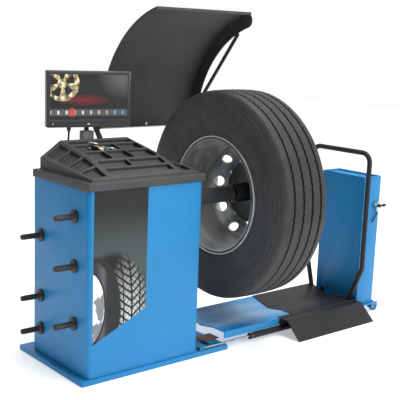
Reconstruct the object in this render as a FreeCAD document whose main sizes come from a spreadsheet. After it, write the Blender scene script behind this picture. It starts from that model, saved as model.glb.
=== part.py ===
"""Truck wheel balancer with a raised wheel hood, a weight tray, a monitor and a rolling wheel lift.

Millimetres. +X runs along the spindle from the cabinet to the wheel, +Z is up and the operator stands
at -Y. The origin is on the floor, under the middle of the cabinet.
"""
import FreeCAD, Part
import math
import os
import re

import Sketcher
from FreeCAD import Placement, Rotation, Vector

SIZES = {
    # cabinet and base
    "cabinet_width": (598, "cabinet, along X"),
    "cabinet_depth": (445, "cabinet, along Y"),
    "cabinet_top": (822, "top of the cabinet above the floor"),
    "cabinet_bend": (25, "outside bend radius of the front corners"),
    "sheet_wall": (2, "cabinet sheet"),
    "plate_height": (23, "base plate, pan depth"),
    "plate_wall": (6, "base plate, sheet"),
    "plate_rib": (30, "base plate, rib under the cabinet's middle"),
    "plate_left": (26, "base plate beyond the cabinet, left"),
    "plate_front": (6, "base plate beyond the cabinet, front"),
    "plate_rear": (89, "base plate beyond the cabinet, rear"),
    "plate_right": (181, "base plate beyond the cabinet, right"),
    "anchor_hole": (14, "floor anchor hole, diameter"),
    "anchor_left": (75, "anchor holes from the plate's left edge"),
    "anchor_right": (40, "anchor holes from the plate's right edge"),
    "anchor_front": (38, "anchor holes from the plate's front edge"),
    "anchor_rear": (42, "anchor holes from the plate's rear edge"),
    "rear_flange_left": (25, "cabinet return flange beside the rear opening, left"),
    "rear_flange_right": (82, "cabinet return flange beside the rear opening, right"),
    "panel_lap": (6, "rear panel lap on the flanges"),
    # weight tray
    "tray_overhang": (7, "tray rim beyond the cabinet"),
    "tray_rim": (34, "tray rim band, height"),
    "tray_inset": (20, "raised tray body inside the cabinet sides"),
    "tray_hip": (179, "tray hip line from the middle, along X"),
    "tray_hip_bar": (28, "width of the hip bars"),
    "tray_rise_front": (12, "raised tray body above the rim, front"),
    "tray_rise_bend": (76, "raised tray body above the rim, at the bend"),
    "tray_rise_rear": (121, "raised tray body above the rim, rear"),
    "tray_wall_rear": (51, "tray side wall above the rim, rear"),
    "tray_bend_back": (190, "bend of the centre panel behind the cabinet front"),
    "pocket_depth": (18, "weight pockets, depth"),
    "pocket_rib": (12, "ribs between pockets"),
    "tray_skin": (4, "moulded tray, thickness"),
    # spindle and drive
    "spindle_offset": (-22, "spindle axis from the cabinet middle, along Y"),
    "spindle_height": (704, "spindle axis above the floor"),
    "shaft_radius": (20, "spindle shaft"),
    "housing_radius": (38, "spindle housing tube, outside"),
    "housing_bore": (27, "spindle housing tube, inside"),
    "housing_start": (-60, "left end of the housing"),
    "housing_reach": (341, "spindle housing beyond the cabinet's side"),
    "shaft_start": (-120, "left end of the shaft"),
    "thread_length": (58, "free threaded end beyond the nut"),
    "thread_step": (2, "threaded end, radius below the shaft's"),
    "bearing_width": (18, "spindle bearings"),
    "running_gap": (0.05, "radial clearance of a running fit"),
    "pulley_radius": (80, "spindle pulley"),
    "motor_pulley_radius": (25, "motor pulley"),
    "pulley_width": (24, "pulleys"),
    "belt_width": (18, "belt"),
    "belt_thickness": (4, "belt"),
    "pulley_start": (-112, "left face of the pulleys"),
    "motor_offset": (40, "motor axis from the cabinet middle, along Y"),
    "motor_height": (430, "motor axis above the floor"),
    "motor_radius": (60, "motor body"),
    "motor_length": (150, "motor body"),
    "motor_shaft_radius": (9, "motor shaft"),
    "stand_plate": (12, "spindle stand plates"),
    "stand_left": (-20, "left stand plate"),
    "stand_right": (230, "right stand plate"),
    # wheel
    "wheel_gap": (359, "wheel mid plane from the cabinet's side"),
    "tyre_radius": (505, "tyre"),
    "tread_half": (121, "half of the tread width"),
    "section_half": (145, "half of the tyre's section width"),
    "rim_radius": (286, "rim flange"),
    "rim_half": (130, "half of the rim's overall width"),
    "seat_radius": (274, "bead seat"),
    "well_radius": (245, "rim well"),
    "rim_sheet": (7, "rim thickness"),
    "disc_sheet": (12, "wheel disc thickness"),
    "hub_bore": (140.5, "wheel centre bore, radius"),
    "disc_flat": (182, "mounting face, outer radius"),
    "disc_depth": (119, "mounting face beyond the mid plane"),
    "hand_hole": (27, "hand hole, radius"),
    "hand_hole_circle": (211, "hand hole centres, radius"),
    "bolt_hole": (13, "wheel bolt hole, radius"),
    "bolt_circle": (167.5, "wheel bolt centres, radius"),
    "flange_radius": (152, "backing flange"),
    "nut_length": (46, "quick nut"),
    "cone_length": (40, "centring cone"),
    # hood
    "hood_radius": (637, "hood skin, outside"),
    "hood_skin": (4, "hood skin"),
    "hood_gap": (51, "hood, near edge from the cabinet's side"),
    "hood_length": (606, "hood, along X"),
    "hood_low_angle": (-1, "hood skin, lower edge, from +Y towards +Z"),
    "hood_high_angle": (76, "hood skin, upper edge, from +Y towards +Z"),
    "hood_side": (70, "hood side web"),
    "hood_centre_back": (73.5, "hood skin centre, along Y"),
    "hood_centre_up": (967, "hood skin centre, above the floor"),
    "hinge_back": (297.5, "hood hinge axis, along Y"),
    "hinge_over": (1, "hood hinge axis above the cabinet's top"),
    "hinge_radius": (10, "hood hinge axle"),
    "arm_radius": (14, "hood arm tube"),
    "brace_radius": (9.5, "hood side brace"),
    # monitor
    "post_x": (-9, "monitor swivel axis, along X"),
    "post_y": (265, "monitor swivel axis, along Y"),
    "post_over": (186, "top of the monitor post above the cabinet's top"),
    "post_width": (56, "monitor post, along X"),
    "monitor_width": (402, "monitor"),
    "monitor_height": (254, "monitor"),
    "monitor_depth": (28, "monitor"),
    "monitor_over": (146, "monitor middle above the post"),
    "monitor_yaw": (-12, "monitor turn at rest, degrees"),
    "bezel": (17, "monitor frame beside the screen"),
    # lift
    "lift_middle": (-83, "lift middle plane, along Y"),
    "column_gap": (5, "lift column from the table's end"),
    "column_width": (131, "lift column, along X"),
    "column_depth": (295, "lift column, along Y"),
    "column_base": (52, "underside of the column"),
    "column_top": (757, "top of the column"),
    "column_sheet": (3, "lift column sheet"),
    "table_before": (187, "lift table, left end from the wheel's mid plane"),
    "table_after": (738, "lift table, right end from the wheel's mid plane"),
    "table_front": (-212, "lift table, front edge along Y"),
    "table_rear": (98, "lift table, rear edge along Y"),
    "table_flat": (80, "lift table, width of the front flat"),
    "table_fold": (-27, "lowest fold of the lift table, along Y"),
    "table_top": (82, "front flat of the lift table above the floor"),
    "fold_top": (66, "lowest fold of the lift table above the floor"),
    "rear_top": (100, "rear edge of the lift table above the floor"),
    "table_sheet": (4, "lift table sheet"),
    "table_lip": (33, "front lip of the lift table"),
    "black_after": (278, "platform plate, left end from the wheel's mid plane"),
    "ramp_after": (177, "ramp, left end from the wheel's mid plane"),
    "ramp_strip": (42, "level strip of the ramp"),
    "ramp_reach": (90, "sloping part of the ramp, along Y"),
    "ramp_sheet": (4, "ramp plate"),
    "ramp_pin": (4, "ramp hinge pin, radius"),
    "ramp_sleeve": (7, "ramp hinge sleeves, radius"),
    "hoop_radius": (13, "guard hoop tube"),
    "hoop_inset": (16, "guard hoop plane from the table's end"),
    "hoop_top": (888, "guard hoop, top bar above the floor"),
    "hoop_half": (198, "guard hoop, half of its width"),
    "hoop_bend": (50, "guard hoop, bend radius"),
    "caster_radius": (24, "outer caster wheels"),
    "roller_radius": (22, "inner rollers"),
    "caster_width": (22, "caster wheels"),
    "axle_radius": (5, "caster axles"),
    "rod_radius": (6, "travel rod"),
    "rod_y": (-214.5, "travel rod axis, along Y"),
    "rod_z": (31, "travel rod axis above the floor"),
    "barrel_radius": (16, "travel cylinder"),
    "barrel_before": (27, "travel cylinder, left end from the wheel's mid plane"),
    "barrel_length": (320, "travel cylinder"),
    "piston_inset": (139, "travel piston in the cylinder at rest"),
    "guide_radius": (12, "lift guide bars"),
    "guide_half": (90, "guide bars from the lift middle plane"),
    "guide_inset": (29, "guide bars from the column's near face"),
    "inner_axle": (258, "inner roller axle from the wheel's mid plane"),
    "beam_after": (292, "chassis beams, left end from the wheel's mid plane"),
    "arm_after": (592, "carriage arms, left end from the wheel's mid plane"),
    "lift_rod_radius": (9, "lift piston rod"),
    "lift_barrel_radius": (24, "lift cylinder"),
    "lift_barrel_top": (335, "top of the lift cylinder"),
    # storage pegs
    "peg_radius": (12.5, "storage pegs"),
    "peg_length": (100, "storage pegs"),
    "peg_flange": (28.5, "storage peg flange, radius"),
}

# Places that follow from the sizes.
PLACES = {
    "housing_end": "cabinet_width / 2 + housing_reach",
    "wheel_middle": "cabinet_width / 2 + wheel_gap",
    "hood_start": "cabinet_width / 2 + hood_gap",
    "hood_end": "hood_start + hood_length",
    "hinge_up": "cabinet_top + hinge_over",
    "post_top": "cabinet_top + post_over",
    "monitor_middle": "post_top + monitor_over",
    "table_start": "wheel_middle - table_before",
    "table_end": "wheel_middle + table_after",
    "black_start": "wheel_middle + black_after",
    "ramp_start": "wheel_middle + ramp_after",
    "column_start": "table_end + column_gap",
    "hoop_x": "table_end - hoop_inset",
    "guide_x": "column_start + guide_inset",
    "barrel_start": "wheel_middle - barrel_before",
    "piston_start": "barrel_start + piston_inset",
}

# Pegs: place along Y, and heights; the highest of each row hangs from the cabinet's top.
NEAR_PEGS = (-118, ("cabinet_top - 117", 493, 243))
FAR_PEGS = (161, ("cabinet_top - 251", 295, 143))
TURN = {
    "X": Rotation(Vector(0, 1, 0), 90),
    "Y": Rotation(Vector(1, 0, 0), -90),
    "Z": Rotation(),
}

doc = FreeCAD.newDocument("wheel_balancer")
sheet = doc.addObject("Spreadsheet::Sheet", "Sizes")
for row, (alias, (value, note)) in enumerate(SIZES.items(), start=1):
    sheet.set(f"A{row}", note)
    sheet.set(f"B{row}", str(value))
    sheet.setAlias(f"B{row}", alias)
for row, (alias, formula) in enumerate(PLACES.items(), start=len(SIZES) + 2):
    sheet.set(f"A{row}", formula)
    sheet.set(f"B{row}", f"={formula}")
    sheet.setAlias(f"B{row}", alias)
doc.recompute()

ALIASES = re.compile(r"\b(" + "|".join([*SIZES, *PLACES]) + r")\b")
nodes = []


def mm(alias):
    """A driving size, read from the sheet."""
    return float(sheet.get(alias))


def bound(text):
    """An expression on the sheet's aliases, as the document needs it."""
    return ALIASES.sub(r"Sizes.\1", str(text))


def number(text):
    """The present value of an expression on the sheet's aliases."""
    return float(sheet.evalExpression(bound(text)))


def place(obj, corner, axis="Z"):
    obj.Placement = Placement(Vector(), TURN[axis])
    for letter, text in zip("xyz", corner):
        obj.setExpression(f"Placement.Base.{letter}", bound(text))
    return obj


def node(name, obj):
    """Marks an object as a sub-part, which is written to its own file."""
    obj.Label = name
    nodes.append(obj)
    return obj


def box(name, size, corner):
    obj = doc.addObject("Part::Box", name)
    for prop, text in zip(("Length", "Width", "Height"), size):
        obj.setExpression(prop, bound(text))
    return place(obj, corner)


def rod(name, radius, length, start, axis="X"):
    """A cylinder from its start point along +X, +Y or +Z."""
    obj = doc.addObject("Part::Cylinder", name)
    obj.setExpression("Radius", bound(radius))
    obj.setExpression("Height", bound(length))
    return place(obj, start, axis)


def cone(name, first, second, length, start, axis="X"):
    obj = doc.addObject("Part::Cone", name)
    for prop, text in zip(("Radius1", "Radius2", "Height"), (first, second, length)):
        obj.setExpression(prop, bound(text))
    return place(obj, start, axis)


def fuse(name, *shapes):
    obj = doc.addObject("Part::MultiFuse", name)
    obj.Shapes = list(shapes)
    return obj


def group(name, *shapes):
    """Several like solids that make one node."""
    obj = doc.addObject("Part::Compound", name)
    obj.Links = list(shapes)
    return obj


def cut(name, base, *tools):
    obj = doc.addObject("Part::Cut", name)
    obj.Base = base
    obj.Tool = tools[0] if len(tools) == 1 else fuse(name + "_tools", *tools)
    return obj


def tube(name, outer, inner, length, start, axis="X"):
    return cut(name, rod(name + "_outside", outer, length, start, axis),
               rod(name + "_inside", inner, length, start, axis))


def rounded(name, base, radius, wanted):
    """A fillet on the edges of base that wanted() picks."""
    doc.recompute()
    obj = doc.addObject("Part::Fillet", name)
    obj.Base = base
    size = number(radius)
    obj.Edges = [(i, size, size) for i, edge in enumerate(base.Shape.Edges, start=1) if wanted(edge)]
    return obj


def feature(name, shape):
    obj = doc.addObject("Part::Feature", name)
    obj.Shape = shape
    return obj


def outline(body, role, *loops):
    """A sketch on one of the body's origin planes, with every corner held by expressions."""
    sketch = body.newObject("Sketcher::SketchObject", body.Name + "_outline")
    plane = next(f for f in body.Origin.OriginFeatures if f.Role == role)
    sketch.AttachmentSupport = [(plane, "")]
    sketch.MapMode = "FlatFace"
    first = 0
    for loop in loops:
        corners = [Vector(number(u), number(v), 0) for u, v in loop]
        count = len(corners)
        for i in range(count):
            sketch.addGeometry(Part.LineSegment(corners[i], corners[(i + 1) % count]))
        for i in range(count):
            following = first + (i + 1) % count
            sketch.addConstraint(Sketcher.Constraint("Coincident", first + i, 2, following, 1))
        for i, (u, v) in enumerate(loop):
            for kind, text, axis in (("DistanceX", u, -2), ("DistanceY", v, -1)):
                if abs(number(text)) < 1e-9:
                    sketch.addConstraint(Sketcher.Constraint("PointOnObject", first + i, 1, axis))
                    continue
                rule = Sketcher.Constraint(kind, -1, 1, first + i, 1, number(text))
                index = sketch.addConstraint(rule)
                sketch.setExpression(f"Constraints[{index}]", bound(text))
        first += count
    return sketch


def extruded(name, role, length, start, *loops):
    """A padded outline. On YZ_Plane the outline is (Y, Z) and the pad runs along +X from start."""
    body = doc.addObject("PartDesign::Body", name)
    pad = body.newObject("PartDesign::Pad", name + "_pad")
    pad.Profile = outline(body, role, *loops)
    pad.setExpression("Length", bound(length))
    body.Tip = pad
    return place(body, start)


def turned(name, start, points):
    """An outline of (X, radius) points, turned about the X axis."""
    body = doc.addObject("PartDesign::Body", name)
    sketch = outline(body, "XZ_Plane", points)
    spin = body.newObject("PartDesign::Revolution", name + "_turn")
    spin.Profile = sketch
    spin.ReferenceAxis = (sketch, ["H_Axis"])
    spin.Angle = 360
    body.Tip = spin
    return place(body, start)


def bent_path(points, bend):
    """Straight runs joined by tangent arcs of one radius."""
    corners = [Vector(*p) for p in points]
    edges = []
    start = corners[0]
    for before, corner, after in zip(corners, corners[1:], corners[2:]):
        back = (before - corner).normalize()
        ahead = (after - corner).normalize()
        half = back.getAngle(ahead) / 2
        radius = bend(before, corner, after) if callable(bend) else bend
        reach = radius / math.tan(half)
        middle = (back + ahead).normalize()
        nearest = corner + middle * (radius / math.sin(half) - radius)
        edges.append(Part.LineSegment(start, corner + back * reach).toShape())
        edges.append(Part.Arc(corner + back * reach, nearest, corner + ahead * reach).toShape())
        start = corner + ahead * reach
    edges.append(Part.LineSegment(start, corners[-1]).toShape())
    return Part.Wire(edges)


def bent_rod(points, bend, radius):
    """A round bar swept along a bent path."""
    path = bent_path(points, bend)
    first = path.Edges[0]
    way = (first.Vertexes[1].Point - first.Vertexes[0].Point).normalize()
    ring = Part.Wire(Part.Circle(Vector(*points[0]), way, radius).toShape())
    return path.makePipeShell([ring], True, False)


def cord_bend(before, corner, after):
    """The largest arc that a cord's two runs leave room for."""
    turn = math.pi - (before - corner).getAngle(after - corner)
    shorter = min((before - corner).Length, (after - corner).Length)
    return 0.45 * shorter / math.tan(turn / 2)


def cord(name, points, radius):
    """A cord's tube; prints its bends, so that a sharp one shows."""
    corners = [Vector(*p) for p in points]
    bends = [cord_bend(*trio) for trio in zip(corners, corners[1:], corners[2:])]
    shape = bent_rod(points, cord_bend, radius)
    length = bent_path(points, cord_bend).Length
    ratio = shape.Volume / (math.pi * radius ** 2 * length)
    print(name, "length", round(length), "volume ratio", round(ratio, 4), "bends", [round(b) for b in bends])
    return node(name, feature(name + "_tube", shape))


# ---------------------------------------------------------------- base plate and cabinet

def make_base_plate():
    length = "plate_left + cabinet_width + plate_right"
    width = "plate_front + cabinet_depth + plate_rear"
    left, front = "-cabinet_width / 2 - plate_left", "-cabinet_depth / 2 - plate_front"
    pan = box("pan", (length, width, "plate_height"), (left, front, 0))
    hollows = [
        box("pan_hollow", (f"{reach} - plate_wall - plate_rib / 2", f"{width} - 2 * plate_wall",
                           "plate_height - plate_wall"), (x, f"{front} + plate_wall", 0))
        for reach, x in (("cabinet_width / 2 + plate_left", f"{left} + plate_wall"),
                         ("cabinet_width / 2 + plate_right", "plate_rib / 2"))
    ]
    holes = []
    for x in (f"{left} + anchor_left", "cabinet_width / 2 + plate_right - anchor_right"):
        for y in (f"{front} + anchor_front", "cabinet_depth / 2 + plate_rear - anchor_rear"):
            holes.append(rod("anchor", "anchor_hole / 2", "plate_height + 2", (x, y, -1), "Z"))
    node("base_plate", cut("base_plate", pan, *hollows, *holes))


def make_cabinet():
    height = "cabinet_top - plate_height"
    outside = box("cabinet_outside", ("cabinet_width", "cabinet_depth", height),
                  ("-cabinet_width / 2", "-cabinet_depth / 2", "plate_height"))
    inside = box("cabinet_inside",
                 ("cabinet_width - 2 * sheet_wall", "cabinet_depth - 2 * sheet_wall", f"{height} - sheet_wall"),
                 ("-cabinet_width / 2 + sheet_wall", "-cabinet_depth / 2 + sheet_wall", "plate_height"))

    def front_corner(edge):
        middle = edge.CenterOfMass
        upright = abs(edge.tangentAt(edge.FirstParameter).z) > 0.99
        return upright and middle.y < 0

    rounded_outside = rounded("cabinet_bends", outside, "cabinet_bend", front_corner)
    rounded_inside = rounded("cabinet_inner_bends", inside, "cabinet_bend - sheet_wall", front_corner)
    opening = box("rear_opening",
                  ("cabinet_width - rear_flange_left - rear_flange_right", "4 * sheet_wall",
                   f"{height} - 2 * rear_flange_left"),
                  ("-cabinet_width / 2 + rear_flange_left", "cabinet_depth / 2 - 3 * sheet_wall",
                   "plate_height + rear_flange_left"))
    passage = rod("housing_passage", "housing_radius + 6", "10 * sheet_wall",
                  ("cabinet_width / 2 - 5 * sheet_wall", "spindle_offset", "spindle_height"))
    node("cabinet_shell", cut("cabinet_shell", rounded_outside, rounded_inside, opening, passage))


PANEL_X = "-cabinet_width / 2 + rear_flange_left - panel_lap"
PANEL_WIDTH = "cabinet_width - rear_flange_left - rear_flange_right + 2 * panel_lap"
PANEL_Z = "plate_height + rear_flange_left - panel_lap"
PANEL_HEIGHT = "cabinet_top - plate_height - 2 * rear_flange_left + 2 * panel_lap"
INLET_X, INLET_Z = "70", "110"


def make_rear_panel():
    panel = box("panel_sheet", (PANEL_WIDTH, "sheet_wall", PANEL_HEIGHT), (PANEL_X, "cabinet_depth / 2", PANEL_Z))
    louvres = [box("louvre", (120, 20, 5), (-200, "cabinet_depth / 2 - 8", 160 + 16 * i)) for i in range(6)]
    window = box("inlet_window", (60, 20, 100), (INLET_X, "cabinet_depth / 2 - 8", INLET_Z))
    glands = [rod("cable_gland", 10, 4, (x, "cabinet_depth / 2 + sheet_wall", z), "Y")
              for x, z in ((VIDEO_CABLE[-1][0], VIDEO_CABLE[-1][2] - 3), (POWER_CABLE[-1][0], POWER_CABLE[-1][2] - 3))]
    node("rear_panel", fuse("rear_panel", cut("panel_pierced", panel, window, *louvres), *glands))
    screws = []
    for x in (f"{PANEL_X} + 3", f"{PANEL_X} + {PANEL_WIDTH} - 3"):
        for part in (0.06, 0.5, 0.94):
            start = (x, "cabinet_depth / 2 + sheet_wall", f"{PANEL_Z} + {part} * ({PANEL_HEIGHT})")
            screws.append(cone("screw_head", 5.5, 3.5, 3.2, start, "Y"))
    node("panel_screws", group("panel_screws", *screws))


def make_power_inlet():
    """A mains inlet with its socket below and the rocker's frame above."""
    block = box("inlet_block", (60, 27, 100), (INLET_X, "cabinet_depth / 2 - 21", INLET_Z))
    socket = box("inlet_socket", (28, 20, 20), (f"{INLET_X} + 16", "cabinet_depth / 2 - 10", f"{INLET_Z} + 15"))
    recess = box("rocker_recess", (24, 20, 32), (f"{INLET_X} + 18", "cabinet_depth / 2 - 10", f"{INLET_Z} + 55"))
    node("power_inlet", cut("power_inlet", block, socket, recess))
    rocker = box("rocker_block", (22, 10, 28), (f"{INLET_X} + 19", "cabinet_depth / 2 - 2", f"{INLET_Z} + 57"))
    block = rounded("rocker_round", rocker, "sheet_wall", lambda edge: abs(edge.tangentAt(edge.FirstParameter).x) > 0.99)
    pivot = rod("rocker_pivot", 1.2, 30, (f"{INLET_X} + 15", "cabinet_depth / 2", f"{INLET_Z} + 71"))
    node("main_switch", cut("main_switch", block, pivot))


def make_pegs():
    pegs = []
    for y, heights in (NEAR_PEGS, FAR_PEGS):
        for z in heights:
            wall = ("-cabinet_width / 2 - 10", y, z)
            flange = rod("peg_flange", "peg_flange", 10, wall)
            shank = rod("peg_shank", "peg_radius", "peg_length - 6", ("-cabinet_width / 2 - peg_length + 6", y, z))
            tip = cone("peg_tip", "peg_radius - 3", "peg_radius", 6, ("-cabinet_width / 2 - peg_length", y, z))
            pegs.append(fuse("peg", flange, shank, tip))
    node("storage_pegs", group("storage_pegs", *pegs))


def make_front_graphic():
    """A thin printed skin on the front, cut off by a rising lower edge."""
    left, right = "-cabinet_width / 2 + cabinet_bend", "-5"
    corners = ((left, 171), (right, 292), (right, "cabinet_top - 1"), (left, "cabinet_top - 1"))
    node("front_graphic", extruded("front_graphic", "XZ_Plane", 0.8, (0, "-cabinet_depth / 2", 0), corners))


# ---------------------------------------------------------------- weight tray

TRAY_ROWS = (-181, -122, -58, 42, 137, 192)
ROW_DIVIDERS = ((), (-11,), (-67, 46), (-67, 46), ())
SIDE_RIBS = (-190, -95, 0, 100, 192)
SIDE_BORDER = 18


def tray_body(drop, inset):
    """The raised tray body, lofted through three sections; drop lowers it and inset draws it in."""
    rim = mm("cabinet_top") + mm("tray_rim")
    side = mm("cabinet_width") / 2 - mm("tray_inset") - inset
    front, rear = -mm("cabinet_depth") / 2 + 12 + inset, mm("cabinet_depth") / 2 - 11 - inset
    bend = -mm("cabinet_depth") / 2 + mm("tray_bend_back")
    share = (bend - front) / (rear - front)
    wall_front = mm("tray_rise_front")
    wall_bend = wall_front + share * (mm("tray_wall_rear") - wall_front)
    stations = (
        (front, wall_front, mm("tray_rise_front")),
        (bend, wall_bend, mm("tray_rise_bend")),
        (rear, mm("tray_wall_rear"), mm("tray_rise_rear")),
    )
    hip = mm("tray_hip")
    wires = []
    for y, wall, crown in stations:
        outline_points = [
            Vector(-side, y, mm("cabinet_top")), Vector(-side, y, rim + wall - drop),
            Vector(-hip, y, rim + crown - drop), Vector(hip, y, rim + crown - drop),
            Vector(side, y, rim + wall - drop), Vector(side, y, mm("cabinet_top")),
        ]
        wires.append(Part.makePolygon(outline_points + outline_points[:1]))
    return Part.makeLoft(wires, True, True)


def upright(x0, x1, y0, y1):
    """A tall prism over a rectangle, used to cut ribs out of the tray body."""
    return Part.makeBox(x1 - x0, y1 - y0, 400, Vector(x0, y0, mm("cabinet_top") - 20))


def make_tray():
    overhang = mm("tray_overhang")
    half_x, half_y = mm("cabinet_width") / 2 + overhang, mm("cabinet_depth") / 2 + overhang
    rim = Part.makeBox(2 * half_x, 2 * half_y, mm("tray_rim"), Vector(-half_x, -half_y, mm("cabinet_top")))
    edges = [e for e in rim.Edges if e.CenterOfMass.z > mm("cabinet_top") + 1]
    rim = rim.makeFillet(5, edges)
    skin = mm("tray_skin")
    floor = tray_body(mm("pocket_depth"), 0)
    hollow = tray_body(mm("pocket_depth") + skin, skin)
    under = Part.makeBox(2 * (half_x - skin - overhang), 2 * (half_y - skin - overhang), mm("tray_rim") - skin,
                         Vector(-half_x + skin + overhang, -half_y + skin + overhang, mm("cabinet_top")))
    shell = rim.fuse(floor).cut(hollow.fuse(under)).removeSplitter()
    node("weight_tray", feature("weight_tray_shell", shell))
    return floor.fuse(rim)


def make_dividers(floor):
    """Ribs that stand on the tray floor and divide it into weight pockets."""
    top = tray_body(0, 0)
    rib = mm("pocket_rib") / 2
    hip, bar = mm("tray_hip"), mm("tray_hip_bar") / 2
    side = mm("cabinet_width") / 2 - mm("tray_inset")
    front, rear = -mm("cabinet_depth") / 2 + 12, mm("cabinet_depth") / 2 - 11
    bend = -mm("cabinet_depth") / 2 + mm("tray_bend_back")
    inner = hip - bar
    prisms = []
    for low, high in ((front, bend), (bend, rear)):
        for sign in (-1, 1):
            edge = sorted((sign * (hip - bar), sign * hip))
            prisms.append(upright(*edge, low, high))
            edge = sorted((sign * hip, sign * (hip + bar)))
            prisms.append(upright(*edge, low, high))
            edge = sorted((sign * (side - SIDE_BORDER), sign * side))
            prisms.append(upright(*edge, low, high))
    for i, y in enumerate(TRAY_ROWS):
        low = front if i == 0 else y - rib
        high = rear if i == len(TRAY_ROWS) - 1 else y + rib
        prisms.append(upright(-inner, inner, low, high))
    for dividers, y0, y1 in zip(ROW_DIVIDERS, TRAY_ROWS, TRAY_ROWS[1:]):
        for x in dividers:
            for low, high in ((y0 + rib, min(y1 - rib, bend)), (max(y0 + rib, bend), y1 - rib)):
                if high - low > 1:
                    prisms.append(upright(x - rib, x + rib, low, high))
    for sign in (-1, 1):
        for i, y in enumerate(SIDE_RIBS):
            low = front if i == 0 else y - rib
            high = rear if i == len(SIDE_RIBS) - 1 else y + rib
            edge = sorted((sign * (hip + bar), sign * (side - SIDE_BORDER)))
            prisms.append(upright(*edge, low, high))
    ribs = [prism.common(top).cut(floor) for prism in prisms]
    solids = [solid for shape in ribs for solid in shape.Solids if solid.Volume > 1]
    node("tray_dividers", feature("tray_divider_ribs", Part.makeCompound(solids)))


# ---------------------------------------------------------------- spindle, drive and electronics

AXIS = ("spindle_offset", "spindle_height")
MOTOR = ("motor_offset", "motor_height")
FLANGE_FACE = "wheel_middle + disc_depth"
CONE_START = f"{FLANGE_FACE} + 1"
NUT_START = f"{CONE_START} + cone_length + 0.3"
THREAD_START = f"{NUT_START} + nut_length + 2"


def make_spindle_housing():
    node("spindle_housing", tube("spindle_housing", "housing_radius", "housing_bore",
                                 "housing_end - housing_start", ("housing_start", *AXIS)))
    rings = [tube("bearing_ring", "housing_bore", "shaft_radius + running_gap", "bearing_width", (x, *AXIS))
             for x in ("housing_start + 6", "housing_end - 6 - bearing_width")]
    node("spindle_bearings", group("spindle_bearings", *rings))


def make_stand():
    """Two upright plates on a foot, which carry the housing and the motor."""
    width, low = 240, -110
    foot = box("stand_foot", ("stand_right - stand_left + stand_plate", width, 10),
               ("stand_left", low, "plate_height"))
    parts = [foot]
    for x in ("stand_left", "stand_right"):
        parts.append(box("stand_upright", ("stand_plate", width, "spindle_height + 60 - plate_height"),
                         (x, low, "plate_height")))
    for x in ("stand_left + stand_plate", "stand_right - 40"):
        parts.append(box("sensor_shelf", (40, 70, 10), (x, "spindle_offset - 35", "spindle_height - housing_radius - 24")))
    bore = rod("stand_bore", "housing_radius", "stand_right - stand_left + 2 * stand_plate",
               ("stand_left - stand_plate / 2", *AXIS))
    shaft_hole = rod("motor_shaft_hole", "motor_shaft_radius + 4", "3 * stand_plate",
                     ("stand_left - stand_plate", *MOTOR))
    node("spindle_stand", cut("spindle_stand", fuse("stand_frame", *parts), bore, shaft_hole))
    discs = [rod("sensor_disc", 12, 14, (x, "spindle_offset", "spindle_height - housing_radius - 14"), "Z")
             for x in ("stand_left + stand_plate + 20", "stand_right - 20")]
    node("force_sensors", group("force_sensors", *discs))


def make_spindle_shaft():
    plain = rod("shaft_plain", "shaft_radius", f"{THREAD_START} - shaft_start", ("shaft_start", *AXIS))
    thread = rod("shaft_thread", "shaft_radius - thread_step", "thread_length", (THREAD_START, *AXIS))
    node("spindle_shaft", fuse("spindle_shaft", plain, thread))
    hub = rod("flange_hub", "shaft_radius + 25", f"{FLANGE_FACE} - 18 - housing_end - 5", ("housing_end + 5", *AXIS))
    plate = rod("flange_plate", "flange_radius", 18, (f"{FLANGE_FACE} - 18", *AXIS))
    bore = rod("flange_bore", "shaft_radius", f"{FLANGE_FACE}", ("housing_end", *AXIS))
    node("backing_flange", cut("backing_flange", fuse("flange_blank", hub, plate), bore))
    blank = cone("cone_blank", "hub_bore - 2.5", "hub_bore + 5.5", "cone_length", (CONE_START, *AXIS))
    bore = rod("cone_bore", "shaft_radius", "cone_length", (CONE_START, *AXIS))
    dish = cone("cone_dish", "shaft_radius + 22", "hub_bore - 12", "cone_length - 12", (f"{CONE_START} + 12", *AXIS))
    hub = tube("cone_hub", "shaft_radius + 16", "shaft_radius", "cone_length", (CONE_START, *AXIS))
    node("centring_cone", fuse("centring_cone", cut("cone_shell", blank, bore, dish), hub))


def make_quick_nut():
    hub = rod("nut_hub", "shaft_radius + 32", "nut_length", (NUT_START, *AXIS))
    bars = []
    for i in range(3):
        bar = rod("nut_bar", 9, 120, (f"{NUT_START} + nut_length / 2", *AXIS), "Z")
        bar.Placement = Placement(bar.Placement.Base, Rotation(Vector(1, 0, 0), 120 * i))
        bars.append(bar)
    bore = rod("nut_bore", "shaft_radius + running_gap", "nut_length", (NUT_START, *AXIS))
    node("quick_nut", cut("quick_nut", fuse("nut_blank", hub, *bars), bore))


def make_drive():
    start = ("pulley_start", *AXIS)
    node("spindle_pulley", tube("spindle_pulley", "pulley_radius", "shaft_radius", "pulley_width", start))
    node("encoder_disc", tube("encoder_disc", 60, "shaft_radius", 3, ("pulley_start + pulley_width + 6", *AXIS)))
    wheel = rod("motor_pulley_wheel", "motor_pulley_radius", "pulley_width", ("pulley_start", *MOTOR))
    shaft = rod("motor_shaft", "motor_shaft_radius", "stand_left + stand_plate + 30 - pulley_start",
                ("pulley_start", *MOTOR))
    node("motor_pulley", fuse("motor_pulley", wheel, shaft))
    can = rod("motor_can", "motor_radius", "motor_length", ("stand_left + stand_plate", *MOTOR))
    cap = rod("motor_cap", "motor_radius - 8", 14, ("stand_left + stand_plate + motor_length", *MOTOR))
    well = rod("motor_well", "motor_shaft_radius + running_gap", 34, ("stand_left + stand_plate", *MOTOR))
    terminal = box("motor_terminals", (60, 50, 30),
                   ("stand_left + stand_plate + 40", "motor_offset - 25", "motor_height + motor_radius - 6"))
    node("motor_body", cut("motor_body", fuse("motor_blank", can, cap, terminal), well))
    node("drive_belt", feature("drive_belt_loop", belt_shape()))


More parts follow.
